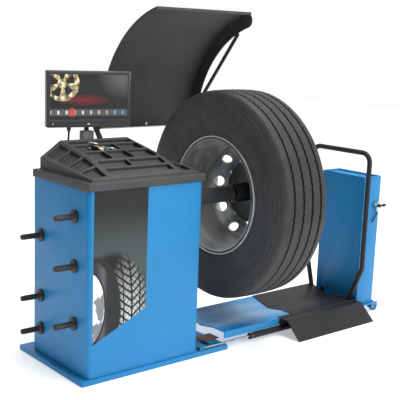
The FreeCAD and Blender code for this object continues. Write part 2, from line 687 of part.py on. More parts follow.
def belt_face(grow):
    """The area inside a loop round both pulleys, grown by a distance, at the belt's left edge."""
    x = mm("pulley_start") + (mm("pulley_width") - mm("belt_width")) / 2
    big = Vector(x, mm("spindle_offset"), mm("spindle_height"))
    small = Vector(x, mm("motor_offset"), mm("motor_height"))
    big_radius, small_radius = mm("pulley_radius") + grow, mm("motor_pulley_radius") + grow
    along = small - big
    way = Vector(along).normalize()
    across = Vector(1, 0, 0).cross(way)
    lean = math.asin((big_radius - small_radius) / along.Length)
    left = across * math.cos(lean) + way * math.sin(lean)
    right = across * -math.cos(lean) + way * math.sin(lean)
    edges = [
        Part.Arc(big + left * big_radius, big - way * big_radius, big + right * big_radius).toShape(),
        Part.LineSegment(big + right * big_radius, small + right * small_radius).toShape(),
        Part.Arc(small + right * small_radius, small + way * small_radius, small + left * small_radius).toShape(),
        Part.LineSegment(small + left * small_radius, big + left * big_radius).toShape(),
    ]
    return Part.Face(Part.Wire(edges))


def belt_shape():
    width = Vector(mm("belt_width"), 0, 0)
    gap = 0.3
    return belt_face(gap + mm("belt_thickness")).extrude(width).cut(belt_face(gap).extrude(width))


def make_electronics():
    x = "pulley_start + pulley_width + 2"
    low = "spindle_height - 60 - 22"
    arm = box("pickup_arm", ("stand_left - pulley_start - pulley_width - 2", 20, 12), (x, "spindle_offset - 10", low))
    head = box("pickup_head", (11, 20, 34), (x, "spindle_offset - 10", low))
    gap = box("pickup_gap", (6, 30, 30), (f"{x} + 2.5", "spindle_offset - 15", f"{low} + 12"))
    node("encoder_pickup", cut("encoder_pickup", fuse("pickup_blank", arm, head), gap))
    wall = "-cabinet_width / 2 + sheet_wall"
    board = box("board_sheet", (2, 220, 180), (f"{wall} + 8", -110, 450))
    posts = [rod("board_post", 4, 8, (wall, y, z)) for y in (-100, 100) for z in (460, 620)]
    chips = [box("board_part", size, (f"{wall} + 10", y, z))
             for size, y, z in (((22, 60, 50), -90, 470), ((14, 40, 40), 0, 540), ((30, 34, 70), 60, 470),
                                ((10, 70, 20), -60, 590))]
    node("control_board", fuse("control_board", board, *posts, *chips))


# ---------------------------------------------------------------- wheel

def make_rim():
    barrel = [
        ("-rim_half", "rim_radius"), ("-rim_half", "seat_radius - rim_sheet"),
        ("-rim_half + 46", "seat_radius - rim_sheet - 10"), ("-62", "well_radius - rim_sheet"),
        ("62", "well_radius - rim_sheet"), ("rim_half - 46", "seat_radius - rim_sheet - 10"),
        ("rim_half", "seat_radius - rim_sheet"), ("rim_half", "rim_radius"),
        ("rim_half - rim_sheet", "rim_radius"), ("rim_half - rim_sheet", "seat_radius"),
        ("rim_half - 46", "seat_radius - 10"), ("62", "well_radius"), ("-62", "well_radius"),
        ("-rim_half + 46", "seat_radius - 10"), ("-rim_half + rim_sheet", "seat_radius"),
        ("-rim_half + rim_sheet", "rim_radius"),
    ]
    start = ("wheel_middle", *AXIS)
    ring = turned("rim_barrel", start, barrel)
    cone_top = "well_radius - rim_sheet + 1"
    cone_start = f"disc_depth - ({cone_top} - disc_flat)"
    disc = [
        ("disc_depth", "hub_bore"), ("disc_depth", "disc_flat"), (cone_start, cone_top),
        (f"{cone_start} + 1.41 * disc_sheet", cone_top),
        ("disc_depth + disc_sheet", "disc_flat + 0.41 * disc_sheet"), ("disc_depth + disc_sheet", "hub_bore"),
    ]
    plate = turned("rim_disc", start, disc)
    hand_hole_x = f"wheel_middle + disc_depth - (hand_hole_circle - disc_flat)"
    holes = []
    for i in range(10):
        angle = 6 + 36 * i
        hole = rod("hand_hole_cutter", "hand_hole", 80, (0, 0, 0), "Z")
        lean = Rotation(Vector(0, 1, 0), 45)
        turn = Rotation(Vector(1, 0, 0), angle - 90)
        centre = turn.multVec(Vector(0, 0, mm("hand_hole_circle")))
        back = turn.multVec(lean.multVec(Vector(0, 0, -40)))
        hole.Placement = Placement(Vector(), turn.multiply(lean))
        for letter, offset, along in zip("xyz", (hand_hole_x, *AXIS), (back.x, centre.y + back.y, centre.z + back.z)):
            hole.setExpression(f"Placement.Base.{letter}", bound(f"{offset} + {along:.4f}"))
        holes.append(hole)
    for i in range(10):
        angle = math.radians(24 + 36 * i)
        y = f"spindle_offset + {math.cos(angle):.6f} * bolt_circle"
        z = f"spindle_height + {math.sin(angle):.6f} * bolt_circle"
        holes.append(rod("wheel_bolt_hole", "bolt_hole", 60, ("wheel_middle + disc_depth - 20", y, z)))
    node("truck_rim", cut("truck_rim", fuse("rim_blank", ring, plate), *holes))


def make_tyre():
    bead = "rim_half - rim_sheet - 0.3"
    half = [
        (bead, "seat_radius + 0.3"), (bead, "rim_radius + 8"), ("section_half - 4", "rim_radius + 60"),
        ("section_half", "rim_radius + 110"), ("section_half - 8", "tyre_radius - 50"),
        ("tread_half", "tyre_radius - 8"), ("tread_half - 20", "tyre_radius - 2"),
    ]
    groove_tops = []
    for x in (84, 28, -28, -84):
        top = "tyre_radius - 1" if abs(x) > 50 else "tyre_radius"
        groove_tops += [(x + 5, top), (x + 4, "tyre_radius - 14"), (x - 4, "tyre_radius - 14"), (x - 5, top)]
    inner = [
        ("section_half - 24", "rim_radius + 80"), ("section_half - 26", "tyre_radius - 70"),
        ("tread_half - 26", "tyre_radius - 34"), ("0", "tyre_radius - 30"),
    ]
    mirror = [(f"-({x})", r) for x, r in half[::-1]]
    inner_left = [(f"-({x})", r) for x, r in inner[:3]]
    foot = [("-rim_half + rim_sheet + 24", "seat_radius - 4.6"), ("-rim_half + rim_sheet + 24", "rim_radius + 14")]
    foot_right = [("rim_half - rim_sheet - 24", "rim_radius + 14"), ("rim_half - rim_sheet - 24", "seat_radius - 4.6")]
    points = half + groove_tops + mirror + foot + inner_left + inner[::-1] + foot_right
    node("truck_tyre", turned("truck_tyre", ("wheel_middle", *AXIS), points))


# ---------------------------------------------------------------- hood

def hood_point(radius, angle, x):
    turn = math.radians(angle)
    return Vector(x, mm("hood_centre_back") + radius * math.cos(turn), mm("hood_centre_up") + radius * math.sin(turn))


def hood_sector(outer, inner, low, high, x0, x1):
    """A ring sector about the hood's centre line, between two angles."""
    middle = (low + high) / 2
    edges = [
        Part.Arc(hood_point(outer, low, x0), hood_point(outer, middle, x0), hood_point(outer, high, x0)).toShape(),
        Part.LineSegment(hood_point(outer, high, x0), hood_point(inner, high, x0)).toShape(),
        Part.Arc(hood_point(inner, high, x0), hood_point(inner, middle, x0), hood_point(inner, low, x0)).toShape(),
        Part.LineSegment(hood_point(inner, low, x0), hood_point(outer, low, x0)).toShape(),
    ]
    return Part.Face(Part.Wire(edges)).extrude(Vector(x1 - x0, 0, 0))


def make_hood():
    radius, skin = mm("hood_radius"), mm("hood_skin")
    low, high = mm("hood_low_angle"), mm("hood_high_angle")
    start, end, web = mm("hood_start"), mm("hood_end"), mm("hood_side")
    round_off = math.degrees(web / 2 / (radius - web / 2))
    parts = [
        hood_sector(radius, radius - skin, low, high, start, end),
        hood_sector(radius - skin, radius - web, low, high - round_off, end - skin, end),
        hood_sector(radius - skin, radius - 14, low, high, start, start + skin),
        hood_sector(radius - skin, radius - 14, low, low + 0.5, start + skin, end - skin),
        hood_sector(radius - skin, radius - 14, high - 0.5, high, start + skin, end - skin),
    ]
    cap_centre = hood_point(radius - web / 2, high - round_off, end - skin)
    cap = Part.makeCylinder(web / 2, skin, cap_centre, Vector(1, 0, 0))
    shell = parts[0].multiFuse(parts[1:] + [cap]).removeSplitter()
    for x in (start + 78, end - 170):
        hole = Part.makeCylinder(5, 60, hood_point(radius - 30, high - 8, x), hood_point(1, high - 8, 0) - hood_point(0, 0, 0))
        shell = shell.cut(hole)
    node("hood_shell", feature("hood_shell_skin", shell))
    brace_x = end - skin - mm("brace_radius") - 0.2
    upper = hood_point(radius - web - 9, 65, brace_x)
    lower = hood_point(radius - skin - 11, 2, brace_x)
    brace = Part.makeCylinder(mm("brace_radius"), (lower - upper).Length, upper, lower - upper)
    node("hood_brace", feature("hood_brace_tube", brace))
    return hood_point(radius, low, 0)


def make_hood_arm():
    """The arm from the hinge hub, carried on as a cross tube behind the hood's lower edge."""
    tube_radius = mm("arm_radius")
    x = mm("hood_start") - 6 - tube_radius
    behind = mm("hood_centre_back") + mm("hood_radius") + tube_radius + 0.6
    hinge = Vector(x, mm("hinge_back"), mm("hinge_up"))
    level = mm("hood_centre_up") + 8
    points = [
        (hinge.x, hinge.y, hinge.z), (x, behind - 90, mm("hinge_up") + 48),
        (x, behind, level), (mm("hood_end") - 20, behind, level),
    ]
    arm = bent_rod(points, tube_radius + 4, tube_radius)
    hub_start = mm("cabinet_width") / 2 + 2
    hub = Part.makeCylinder(mm("hinge_radius") + 10, x + tube_radius - hub_start,
                            Vector(hub_start, hinge.y, hinge.z), Vector(1, 0, 0))
    bore = Part.makeCylinder(mm("hinge_radius") + mm("running_gap"), 100,
                             Vector(hub_start - 1, hinge.y, hinge.z), Vector(1, 0, 0))
    node("hood_arm", feature("hood_arm_tube", arm.fuse(hub).cut(bore)))
    bolts = []
    for offset in (60, 300, 540):
        head = Vector(mm("hood_start") + offset, mm("hood_centre_back") + mm("hood_radius") - mm("hood_skin") - 5.2, level)
        bolts.append(Part.makeCylinder(8, 5, head, Vector(0, 1, 0)))
    node("hood_bolts", feature("hood_bolt_heads", Part.makeCompound(bolts)))


def make_hood_hinge():
    rear = "cabinet_depth / 2"
    foot = box("hinge_foot", (64, 8, 75), ("cabinet_width / 2 - 67", rear, "hinge_up - 83"))
    parts = [foot]
    for x in ("cabinet_width / 2 - 63", "cabinet_width / 2 - 15"):
        parts.append(box("hinge_ear", (12, f"hinge_back - {rear} - 8", 60), (x, f"{rear} + 8", "hinge_up - 68")))
        parts.append(rod("hinge_ear_eye", "hinge_radius + 12", 12, (x, "hinge_back", "hinge_up")))
        parts.append(box("hinge_ear_web", (12, 36, 44), (x, "hinge_back - 20", "hinge_up - 50")))
    eye = rod("hinge_bore", "hinge_radius", 80, ("cabinet_width / 2 - 70", "hinge_back", "hinge_up"))
    node("hinge_bracket", cut("hinge_bracket", fuse("hinge_blank", *parts), eye))
    length = "63 + hood_start - 6 - cabinet_width / 2"
    node("hinge_axle", rod("hinge_axle", "hinge_radius", length,
                           ("cabinet_width / 2 - 63", "hinge_back", "hinge_up")))


# ---------------------------------------------------------------- monitor

def make_monitor():
    spacer = box("post_spacer", ("post_width", "post_y - 20 - cabinet_depth / 2 - sheet_wall", 120),
                 ("post_x - post_width / 2", "cabinet_depth / 2 + sheet_wall", "cabinet_top - 162"))
    upright_tube = box("post_tube", ("post_width", 34, "post_over + 182"), ("post_x - post_width / 2", "post_y - 20", "cabinet_top - 182"))
    socket = rod("post_socket", 16, 22, ("post_x", "post_y", "post_top - 20"), "Z")
    bore = rod("post_bore", "9 + running_gap", 40, ("post_x", "post_y", "post_top - 35"), "Z")
    node("monitor_post", cut("monitor_post", fuse("post_blank", spacer, upright_tube, socket), bore))
    pivot_z = "monitor_middle - 10"
    stem = rod("neck_stem", 9, 60, (0, 0, "post_top - 30"), "Z")
    collar = rod("neck_collar", 11, f"{pivot_z} - post_top - 26", (0, 0, "post_top + 3"), "Z")
    yoke = [box("neck_cheek", (8, 17, 44), (x, -5, f"{pivot_z} - 22")) for x in (-34, 26)]
    bridge = box("neck_bridge", (68, 17, 10), (-34, -5, f"{pivot_z} - 32"))
    pin = rod("tilt_pin", 4, 68, (-34, 0, pivot_z))
    neck = fuse("neck_body", stem, collar, bridge, pin, *yoke)
    back = box("monitor_case", ("monitor_width", "monitor_depth", "monitor_height"),
               ("-monitor_width / 2", -40, "monitor_middle - monitor_height / 2"))
    case = rounded("monitor_case_round", back, 6, lambda e: abs(e.tangentAt(e.FirstParameter).y) > 0.99)
    boss = box("monitor_boss", (50, 14, 36), (-25, "monitor_depth - 40", f"{pivot_z} - 18"))
    knuckle = rod("monitor_knuckle", 10, 50, (-25, 0, pivot_z))
    pin_bore = rod("monitor_pin_bore", "4 + running_gap", 60, (-30, 0, pivot_z))
    window = box("screen_window", ("monitor_width - 2 * bezel", 4, "monitor_height - 3 * bezel"),
                 ("-monitor_width / 2 + bezel", -42, "monitor_middle - monitor_height / 2 + 2 * bezel"))
    housing = cut("housing_body", fuse("housing_blank", case, boss, knuckle), pin_bore, window)
    glass = box("screen_glass", ("monitor_width - 2 * bezel", 1.5, "monitor_height - 3 * bezel"),
                ("-monitor_width / 2 + bezel", -39.5, "monitor_middle - monitor_height / 2 + 2 * bezel"))
    for name, obj in (("monitor_neck", neck), ("monitor_housing", housing), ("monitor_screen", glass)):
        turned_group = doc.addObject("Part::Compound", name + "_turned")
        turned_group.Links = [obj]
        turned_group.Placement = Placement(Vector(), Rotation(Vector(0, 0, 1), mm("monitor_yaw")))
        turned_group.setExpression("Placement.Base.x", bound("post_x"))
        turned_group.setExpression("Placement.Base.y", bound("post_y"))
        node(name, turned_group)


VIDEO_CABLE = (
    (-104, 262, 1020), (-104, 262, 985), (-107, 266, 942), (-110, 265, 898), (-108, 260, 856), (-103, 252, 820),
    (-100, 242, 800), (-100, 230.5, 792),
)
POWER_CABLE = (
    (38, 240, 1020), (38, 241, 985), (42, 250, 944), (50, 257, 903), (56, 256, 862), (57, 250, 826),
    (55, 241, 804), (54, 230, 796),
)


def make_cables():
    cord("video_cable", VIDEO_CABLE, 4.5)
    cord("monitor_power_cable", POWER_CABLE, 3.5)


# ---------------------------------------------------------------- wheel lift

def trough(top, under, front, lip):
    """The lift table's section: a front flat, the fold and the rising rear, between two offsets."""
    flat_end = "table_front + table_flat"
    upper = [(front, f"table_top + {top}"), (flat_end, f"table_top + {top}"), ("table_fold", f"fold_top + {top}"),
             ("table_rear", f"rear_top + {top}")]
    lower = [("table_rear", f"rear_top + {under}"), ("table_fold", f"fold_top + {under}"),
             (flat_end, f"table_top + {under}")]
    return upper + lower + lip


def make_table():
    lip = [("table_front + table_sheet", "table_top - table_sheet"), ("table_front + table_sheet", "table_top - table_lip"),
           ("table_front", "table_top - table_lip")]
    sheet_body = extruded("table_body", "YZ_Plane", "table_end - table_start", ("table_start", 0, 0),
                          trough("0", "-table_sheet", "table_front", lip))
    sleeves = []
    for x in SLEEVES_TABLE:
        sleeves.append(rod("table_sleeve", "ramp_sleeve", SLEEVE_LENGTH, (x, RAMP_Y, RAMP_Z)))
        sleeves.append(box("table_sleeve_web", (SLEEVE_LENGTH, "ramp_sleeve", "ramp_sleeve - 2"),
                           (x, f"{RAMP_Y} + 2", f"{RAMP_Z} - ramp_sleeve")))
    bore = rod("table_sleeve_bore", "ramp_pin", "table_end - ramp_start + 4", ("ramp_start - 2", RAMP_Y, RAMP_Z))
    node("lift_table", cut("lift_table", fuse("table_blank", sheet_body, *sleeves), bore))
    front = [("table_front", "table_top")]
    plate = extruded("platform_body", "YZ_Plane", "table_end - black_start", ("black_start", 0, 0),
                     trough("3", "0", "table_front", front))
    node("platform_plate", plate)


RAMP_Y = "(table_front - ramp_sleeve - 0.5)"
RAMP_Z = "(table_top + 2)"
SLEEVE_LENGTH = "(table_end - ramp_start) / 5 - 2"
SLEEVES_TABLE = tuple(f"ramp_start + {i} * (table_end - ramp_start) / 5" for i in (0, 2, 4))
SLEEVES_RAMP = tuple(f"ramp_start + {i} * (table_end - ramp_start) / 5" for i in (1, 3))


def make_ramp():
    edge, strip_end = f"{RAMP_Y} - ramp_sleeve + 1", f"{RAMP_Y} - ramp_sleeve - ramp_strip"
    low = "1"
    outline_points = [
        (edge, f"{RAMP_Z} + ramp_sheet / 2"), (strip_end, f"{RAMP_Z} + ramp_sheet / 2"),
        (f"{strip_end} - ramp_reach", f"{low} + 1.4 * ramp_sheet"), (f"{strip_end} - ramp_reach", low),
        (f"{strip_end} - ramp_reach + 1.4 * ramp_sheet", low), (strip_end, f"{RAMP_Z} - ramp_sheet / 2 - 1"),
        (edge, f"{RAMP_Z} - ramp_sheet / 2"),
    ]
    plate = extruded("ramp_body", "YZ_Plane", "table_end - ramp_start", ("ramp_start", 0, 0), outline_points)
    sleeves = [rod("ramp_sleeve_bar", "ramp_sleeve", SLEEVE_LENGTH, (x, RAMP_Y, RAMP_Z)) for x in SLEEVES_RAMP]
    clear = [box("ramp_notch", (f"{SLEEVE_LENGTH} + 3", 10, 16), (f"{x} - 1.5", f"{RAMP_Y} - 7.5", f"{RAMP_Z} - 8"))
             for x in SLEEVES_TABLE]
    bore = rod("ramp_bore", "ramp_pin + running_gap", "table_end - ramp_start + 4", ("ramp_start - 2", RAMP_Y, RAMP_Z))
    node("ramp_flap", cut("ramp_flap", fuse("ramp_blank", cut("ramp_notched", plate, *clear), *sleeves), bore))
    node("ramp_hinge_pin", rod("ramp_hinge_pin", "ramp_pin", "table_end - ramp_start", ("ramp_start", RAMP_Y, RAMP_Z)))


def make_hoop():
    x, top, half = mm("hoop_x"), mm("hoop_top"), mm("hoop_half")
    middle = (mm("table_front") + mm("table_rear")) / 2 - 14
    front_foot = (x, mm("table_front") + 18, mm("table_top") + 3)
    rear_foot = (x, mm("table_rear") - 18, mm("rear_top") - 18 * 34 / 125 + 3)
    points = [
        front_foot, (x, middle - half, 270), (x, middle - half, top), (x, middle + half, top),
        (x, middle + half, 270), rear_foot,
    ]
    tube_shape = bent_rod(points, mm("hoop_bend"), mm("hoop_radius"))
    node("guard_hoop", feature("guard_hoop_tube", tube_shape.cut(hoop_under())))


def hoop_under():
    """Everything below the platform plate's upper face, which trims the hoop's feet."""
    flat_end = mm("table_front") + mm("table_flat")
    corners = [
        (mm("table_front") - 40, mm("table_top") + 3), (flat_end, mm("table_top") + 3),
        (mm("table_fold"), mm("fold_top") + 3), (mm("table_rear") + 40, mm("rear_top") + 3 + 40 * 34 / 125),
        (mm("table_rear") + 40, 0), (mm("table_front") - 40, 0),
    ]
    points = [Vector(mm("hoop_x") - 60, y, z) for y, z in corners]
    return Part.Face(Part.makePolygon(points + points[:1])).extrude(Vector(120, 0, 0))


BEAM_LOW, BEAM_HEIGHT = "28", "24"
FRONT_BEAM, REAR_BEAM = "-190", "60"
INNER_AXLE, OUTER_AXLE = "(wheel_middle + inner_axle)", "column_start + column_width + 31"
OUTER_WHEELS = ("lift_middle - column_depth / 2 + 2", "lift_middle + column_depth / 2 - 24")
INNER_WHEELS = ("-183", "62")


def make_chassis():
    beams = [box("beam", ("column_start + column_width - wheel_middle - beam_after", 25, BEAM_HEIGHT), ("wheel_middle + beam_after", y, BEAM_LOW))
             for y in (FRONT_BEAM, REAR_BEAM)]
    cross = box("cross_beam", (25, f"{REAR_BEAM} - {FRONT_BEAM}", BEAM_HEIGHT), ("wheel_middle + beam_after", FRONT_BEAM, BEAM_LOW))
    foot = box("column_foot", ("column_width + 15", "column_depth + 24", 8),
               ("column_start - 3", "lift_middle - column_depth / 2 - 12", "column_base - 8"))
    skirt = box("foot_skirt", ("column_width + 4", 230, 14), ("column_start - 2", "lift_middle - 106", 30))
    parts = [*beams, cross, foot, skirt]
    for y in OUTER_WHEELS:
        for side in (f"{y} - 5", f"{y} + caster_width + 1"):
            parts.append(box("caster_cheek", (48, 4, "column_base - 15"), ("column_start + column_width - 2", side, 15)))
    for y in INNER_WHEELS:
        for side in (f"{y} - 5", f"{y} + caster_width + 1"):
            parts.append(box("roller_cheek", (48, 4, 24), ("wheel_middle + 250", side, 16)))
    lug = box("barrel_lug", (16, 26, 24), ("wheel_middle + 280", "rod_y", "rod_z - 10"))
    parts.append(lug)
    holes = [
        rod("outer_axle_hole", "axle_radius + running_gap", 400,
            (OUTER_AXLE, "lift_middle - 200", "caster_radius"), "Y"),
        rod("inner_axle_hole", "axle_radius + running_gap", 400, (INNER_AXLE, -240, "roller_radius"), "Y"),
        rod("barrel_seat", "barrel_radius", 60, ("wheel_middle + 273", "rod_y", "rod_z")),
    ]
    node("lift_chassis", cut("lift_chassis", fuse("chassis_blank", *parts), *holes))


def make_wheels(name, radius, axle_x, starts):
    """Two wheels on one axle, which turn together."""
    axle_start = f"{starts[0]} - 7"
    axle = rod(name + "_axle", "axle_radius", f"{starts[1]} - ({starts[0]}) + caster_width + 14",
               (axle_x, axle_start, radius), "Y")
    discs = [rod(name + "_wheel", radius, "caster_width", (axle_x, y, radius), "Y") for y in starts]
    node(name, fuse(name, axle, *discs))


def make_column():
    size = ("column_width", "column_depth", "column_top - column_base")
    corner = ("column_start", "lift_middle - column_depth / 2", "column_base")
    outside = box("column_outside", size, corner)
    inside = box("column_inside", ("column_width - 2 * column_sheet", "column_depth - 2 * column_sheet",
                                   "column_top - column_base"),
                 ("column_start + column_sheet", "lift_middle - column_depth / 2 + column_sheet", "column_base"))
    slots = [box("arm_slot", (20, 24, 140), ("column_start - 8", f"lift_middle + {y} - 12", "column_base"))
             for y in (-100, 100)]
    cap = box("column_lid", ("column_width - 2 * column_sheet", "column_depth - 2 * column_sheet", "column_sheet"),
              ("column_start + column_sheet", "lift_middle - column_depth / 2 + column_sheet", "column_top - 15"))
    node("lift_column", fuse("lift_column", cut("column_walls", outside, inside, *slots), cap))
    bars = [rod("guide_bar", "guide_radius", "column_top - 18 - column_base", ("guide_x", f"lift_middle + {s} * guide_half", "column_base"), "Z")
            for s in (-1, 1)]
    node("guide_bars", group("guide_bars", *bars))


def make_lift_cylinder():
    x, y = "guide_x + 26", "lift_middle"
    blank = rod("lift_barrel_blank", "lift_barrel_radius", "lift_barrel_top - column_base", (x, y, "column_base"), "Z")
    hollow = rod("lift_barrel_hollow", "lift_barrel_radius - 5", "lift_barrel_top - column_base - 24",
                 (x, y, "column_base + 12"), "Z")
    gland = rod("lift_gland", "lift_rod_radius + running_gap", 40, (x, y, "lift_barrel_top - 20"), "Z")
    node("lift_cylinder", cut("lift_cylinder", blank, hollow, gland))
    shaft = rod("lift_rod_shaft", "lift_rod_radius", 210, (x, y, 190), "Z")
    piston = rod("lift_piston", "lift_barrel_radius - 5.1", 14, (x, y, 190), "Z")
    node("lift_rod", fuse("lift_rod", shaft, piston))


def make_carriage():
    """The sliding plate inside the column, with its bushes on the guide bars and its two arms."""
    plate = box("carriage_plate", (6, 220, 340), ("guide_x - 20", "lift_middle - 110", 82))
    parts = [plate]
    for s in (-1, 1):
        for z in (92, 345):
            parts.append(box("bush_block", (36, 40, 56), ("guide_x - 18", f"lift_middle + {s} * guide_half - 20", z)))
    parts.append(box("rod_bracket", (72, 44, 22), ("guide_x - 18", "lift_middle - 22", 400)))
    parts.append(box("arm_near", ("guide_x - 14 - wheel_middle - arm_after", 16, 22), ("wheel_middle + arm_after", "lift_middle - 108", 56)))
    parts.append(box("arm_far", ("guide_x - 14 - wheel_middle - arm_after", 16, 15.6), ("wheel_middle + arm_after", "lift_middle + 92", 56)))
    for y, low in (("lift_middle - 108", 56), ("lift_middle + 92", 56)):
        parts.append(box("arm_root", (10, 16, 60), ("guide_x - 22", y, low)))
    bores = [rod("bush_bore", "guide_radius + running_gap", 400, ("guide_x", f"lift_middle + {s} * guide_half", 60), "Z")
             for s in (-1, 1)]
    node("lift_carriage", cut("lift_carriage", fuse("carriage_blank", *parts), *bores))


def make_travel_cylinder():
    axis = ("rod_y", "rod_z")
    blank = rod("travel_barrel", "barrel_radius", "barrel_length", ("barrel_start", *axis))
    hollow = rod("travel_hollow", "barrel_radius - 4", "barrel_length - 35", ("barrel_start + 20", *axis))
    gland = rod("travel_gland", "rod_radius + running_gap", 40, ("barrel_start - 5", *axis))
    node("travel_cylinder", cut("travel_cylinder", blank, hollow, gland))
    shaft = rod("travel_shaft", "rod_radius", "piston_start + 20 - cabinet_width / 2 - 16",
                ("cabinet_width / 2 + 16", *axis))
    piston = rod("travel_piston", "barrel_radius - 4.1", 20, ("piston_start", *axis))
    node("travel_rod", fuse("travel_rod", shaft, piston))
    lug = box("rod_lug", (28, 24, "rod_z + 11 - plate_height"), ("cabinet_width / 2 + 12", "rod_y - 11", "plate_height"))
    bore = rod("rod_lug_bore", "rod_radius", 60, ("cabinet_width / 2 + 2", *axis))
    block = box("anchor_block", (60, 60, 14), ("cabinet_width / 2 + 95", -190, "plate_height"))
    node("rod_anchor", cut("rod_anchor", lug, bore))
    node("guide_block", block)
    shoe = box("shoe_plate", (92, 72, 5), ("cabinet_width / 2 + 85", -168, "plate_height + 14.2"))
    leg = box("shoe_leg", (8, 40, 14.2), ("cabinet_width / 2 + 165", -130, "plate_height"))
    node("guide_shoe", fuse("guide_shoe", shoe, leg))


def make_valve():
    x, face, z = "column_start + 101", "lift_middle - column_depth / 2", "600"
    body = box("valve_block", (26, 22, 40), (f"{x} - 13", f"{face} - 22", f"{z} - 20"))
    port = rod("valve_port", 7, 14, (f"{x} - 27", f"{face} - 11", f"{z} + 8"))
    elbow = rod("valve_elbow", 5, 12, (x, f"{face} - 11", f"{z} - 32"), "Z")
    well = rod("lever_well", "3 + running_gap", 12, (x, f"{face} - 26", z), "Y")
    node("hand_valve", cut("hand_valve", fuse("valve_blank", body, port, elbow), well))
    stem = rod("lever_stem", 3, 14, (x, f"{face} - 34", z), "Y")
    hub = rod("lever_hub", 9, 10, (x, f"{face} - 33", z), "Y")
    handle = box("lever_handle", (34, 6, 8), (x, f"{face} - 31", f"{z} - 4"))
    knob = rod("lever_knob", 8, 14, (f"{x} + 30", f"{face} - 28", z))
    node("valve_lever", fuse("valve_lever", stem, hub, handle, knob))
    column_face = mm("lift_middle") - mm("column_depth") / 2
    middle = mm("column_start") + 101
    pipe = bent_rod([(middle, column_face - 11, 568), (middle, column_face - 11, 552),
                     (middle - 22, column_face - 11, 520), (middle - 22, column_face - 4, 512)], 6, 4)
    node("air_pipe", feature("air_pipe_tube", pipe))


# ---------------------------------------------------------------- checks and files

def write_parts():
    doc.recompute()
    for obj in doc.Objects:
        faults = [state for state in obj.State if state in ("Invalid", "Error")]
        if faults:
            raise RuntimeError(f"{obj.Name} is {faults}")
    os.makedirs("parts", exist_ok=True)
    for obj in nodes:
        if obj.Shape.isNull() or not obj.Shape.isValid() or not obj.Shape.Solids:
            raise RuntimeError(f"{obj.Label} has no valid solid")
        obj.Shape.exportStep(f"parts/{obj.Label}.step")
    print(len(nodes), "sub-parts written")


make_base_plate()
make_cabinet()
make_rear_panel()
make_power_inlet()
make_pegs()
make_front_graphic()
tray_floor = make_tray()
make_dividers(tray_floor)
make_spindle_housing()
make_stand()
make_spindle_shaft()
make_quick_nut()
make_drive()
make_electronics()
make_rim()
make_tyre()
make_hood()
make_hood_arm()
make_hood_hinge()
make_monitor()
make_cables()
make_table()
make_ramp()
make_hoop()
make_chassis()
make_wheels("outer_casters", "caster_radius", OUTER_AXLE, OUTER_WHEELS)
make_wheels("inner_rollers", "roller_radius", INNER_AXLE, INNER_WHEELS)
make_column()
make_lift_cylinder()
make_carriage()
make_travel_cylinder()
make_valve()
write_parts()
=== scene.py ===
"""Truck wheel balancer: cabinet with a weight tray and a monitor, a raised hood, a truck wheel and a wheel lift.

Every piece is in metres: +X from the cabinet to the wheel, +Y to the rear, +Z up, from the floor under the cabinet.
"""
import math
import random

import bmesh
import bpy
from bpy.props import FloatProperty, FloatVectorProperty, IntProperty, PointerProperty
from mathutils import Matrix, Vector


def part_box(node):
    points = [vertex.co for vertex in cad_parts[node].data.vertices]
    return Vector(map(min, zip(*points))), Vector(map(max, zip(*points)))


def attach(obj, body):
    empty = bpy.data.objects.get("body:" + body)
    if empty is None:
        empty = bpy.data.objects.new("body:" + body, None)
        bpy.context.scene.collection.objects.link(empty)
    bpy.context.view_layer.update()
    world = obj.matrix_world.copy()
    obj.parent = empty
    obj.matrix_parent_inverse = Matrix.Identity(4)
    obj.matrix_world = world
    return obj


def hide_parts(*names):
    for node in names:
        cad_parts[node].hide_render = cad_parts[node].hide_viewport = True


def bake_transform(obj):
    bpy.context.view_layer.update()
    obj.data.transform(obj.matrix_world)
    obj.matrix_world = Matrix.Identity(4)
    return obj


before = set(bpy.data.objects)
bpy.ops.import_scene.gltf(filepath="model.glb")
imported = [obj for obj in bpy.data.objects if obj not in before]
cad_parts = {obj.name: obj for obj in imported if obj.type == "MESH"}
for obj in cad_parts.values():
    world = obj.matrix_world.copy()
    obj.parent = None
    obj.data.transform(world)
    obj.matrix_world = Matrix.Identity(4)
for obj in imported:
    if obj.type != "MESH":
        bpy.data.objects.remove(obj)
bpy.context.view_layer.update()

bl_info = {
    "name": "Truck wheel balancer",
    "version": (1, 0, 0),
    "blender": (4, 5, 0),
    "location": "View3D > Sidebar > Balancer",
    "description": "Builds the visible pieces and finishes of a truck wheel balancer",
    "category": "Object",
}

SPINDLE = Vector((0.658, -0.022, 0.704))
MM = 0.001
NEAR_PEG_HEIGHTS = (0.705, 0.493, 0.243)
FAR_PEG_HEIGHTS = (0.571, 0.295, 0.143)
MONITOR_TURN = math.radians(-12)
DISPLAY_SIZE = (0.368, 0.203)
PEG_FOOT_RADIUS = 0.0285
# Where each outer caster's two faces stand along Y, and which way they look.
CASTER_FACES = ((-0.2286, -1), (-0.2064, 1), (0.0404, -1), (0.0626, 1))


def colour(code):
    """An sRGB hex value as linear red, green, blue and alpha."""
    parts = [int(code[i:i + 2], 16) / 255 for i in (1, 3, 5)]
    return tuple(c / 12.92 if c <= 0.04045 else ((c + 0.055) / 1.055) ** 2.4 for c in parts) + (1.0,)


# ---------------------------------------------------------------- sizes and colours to change

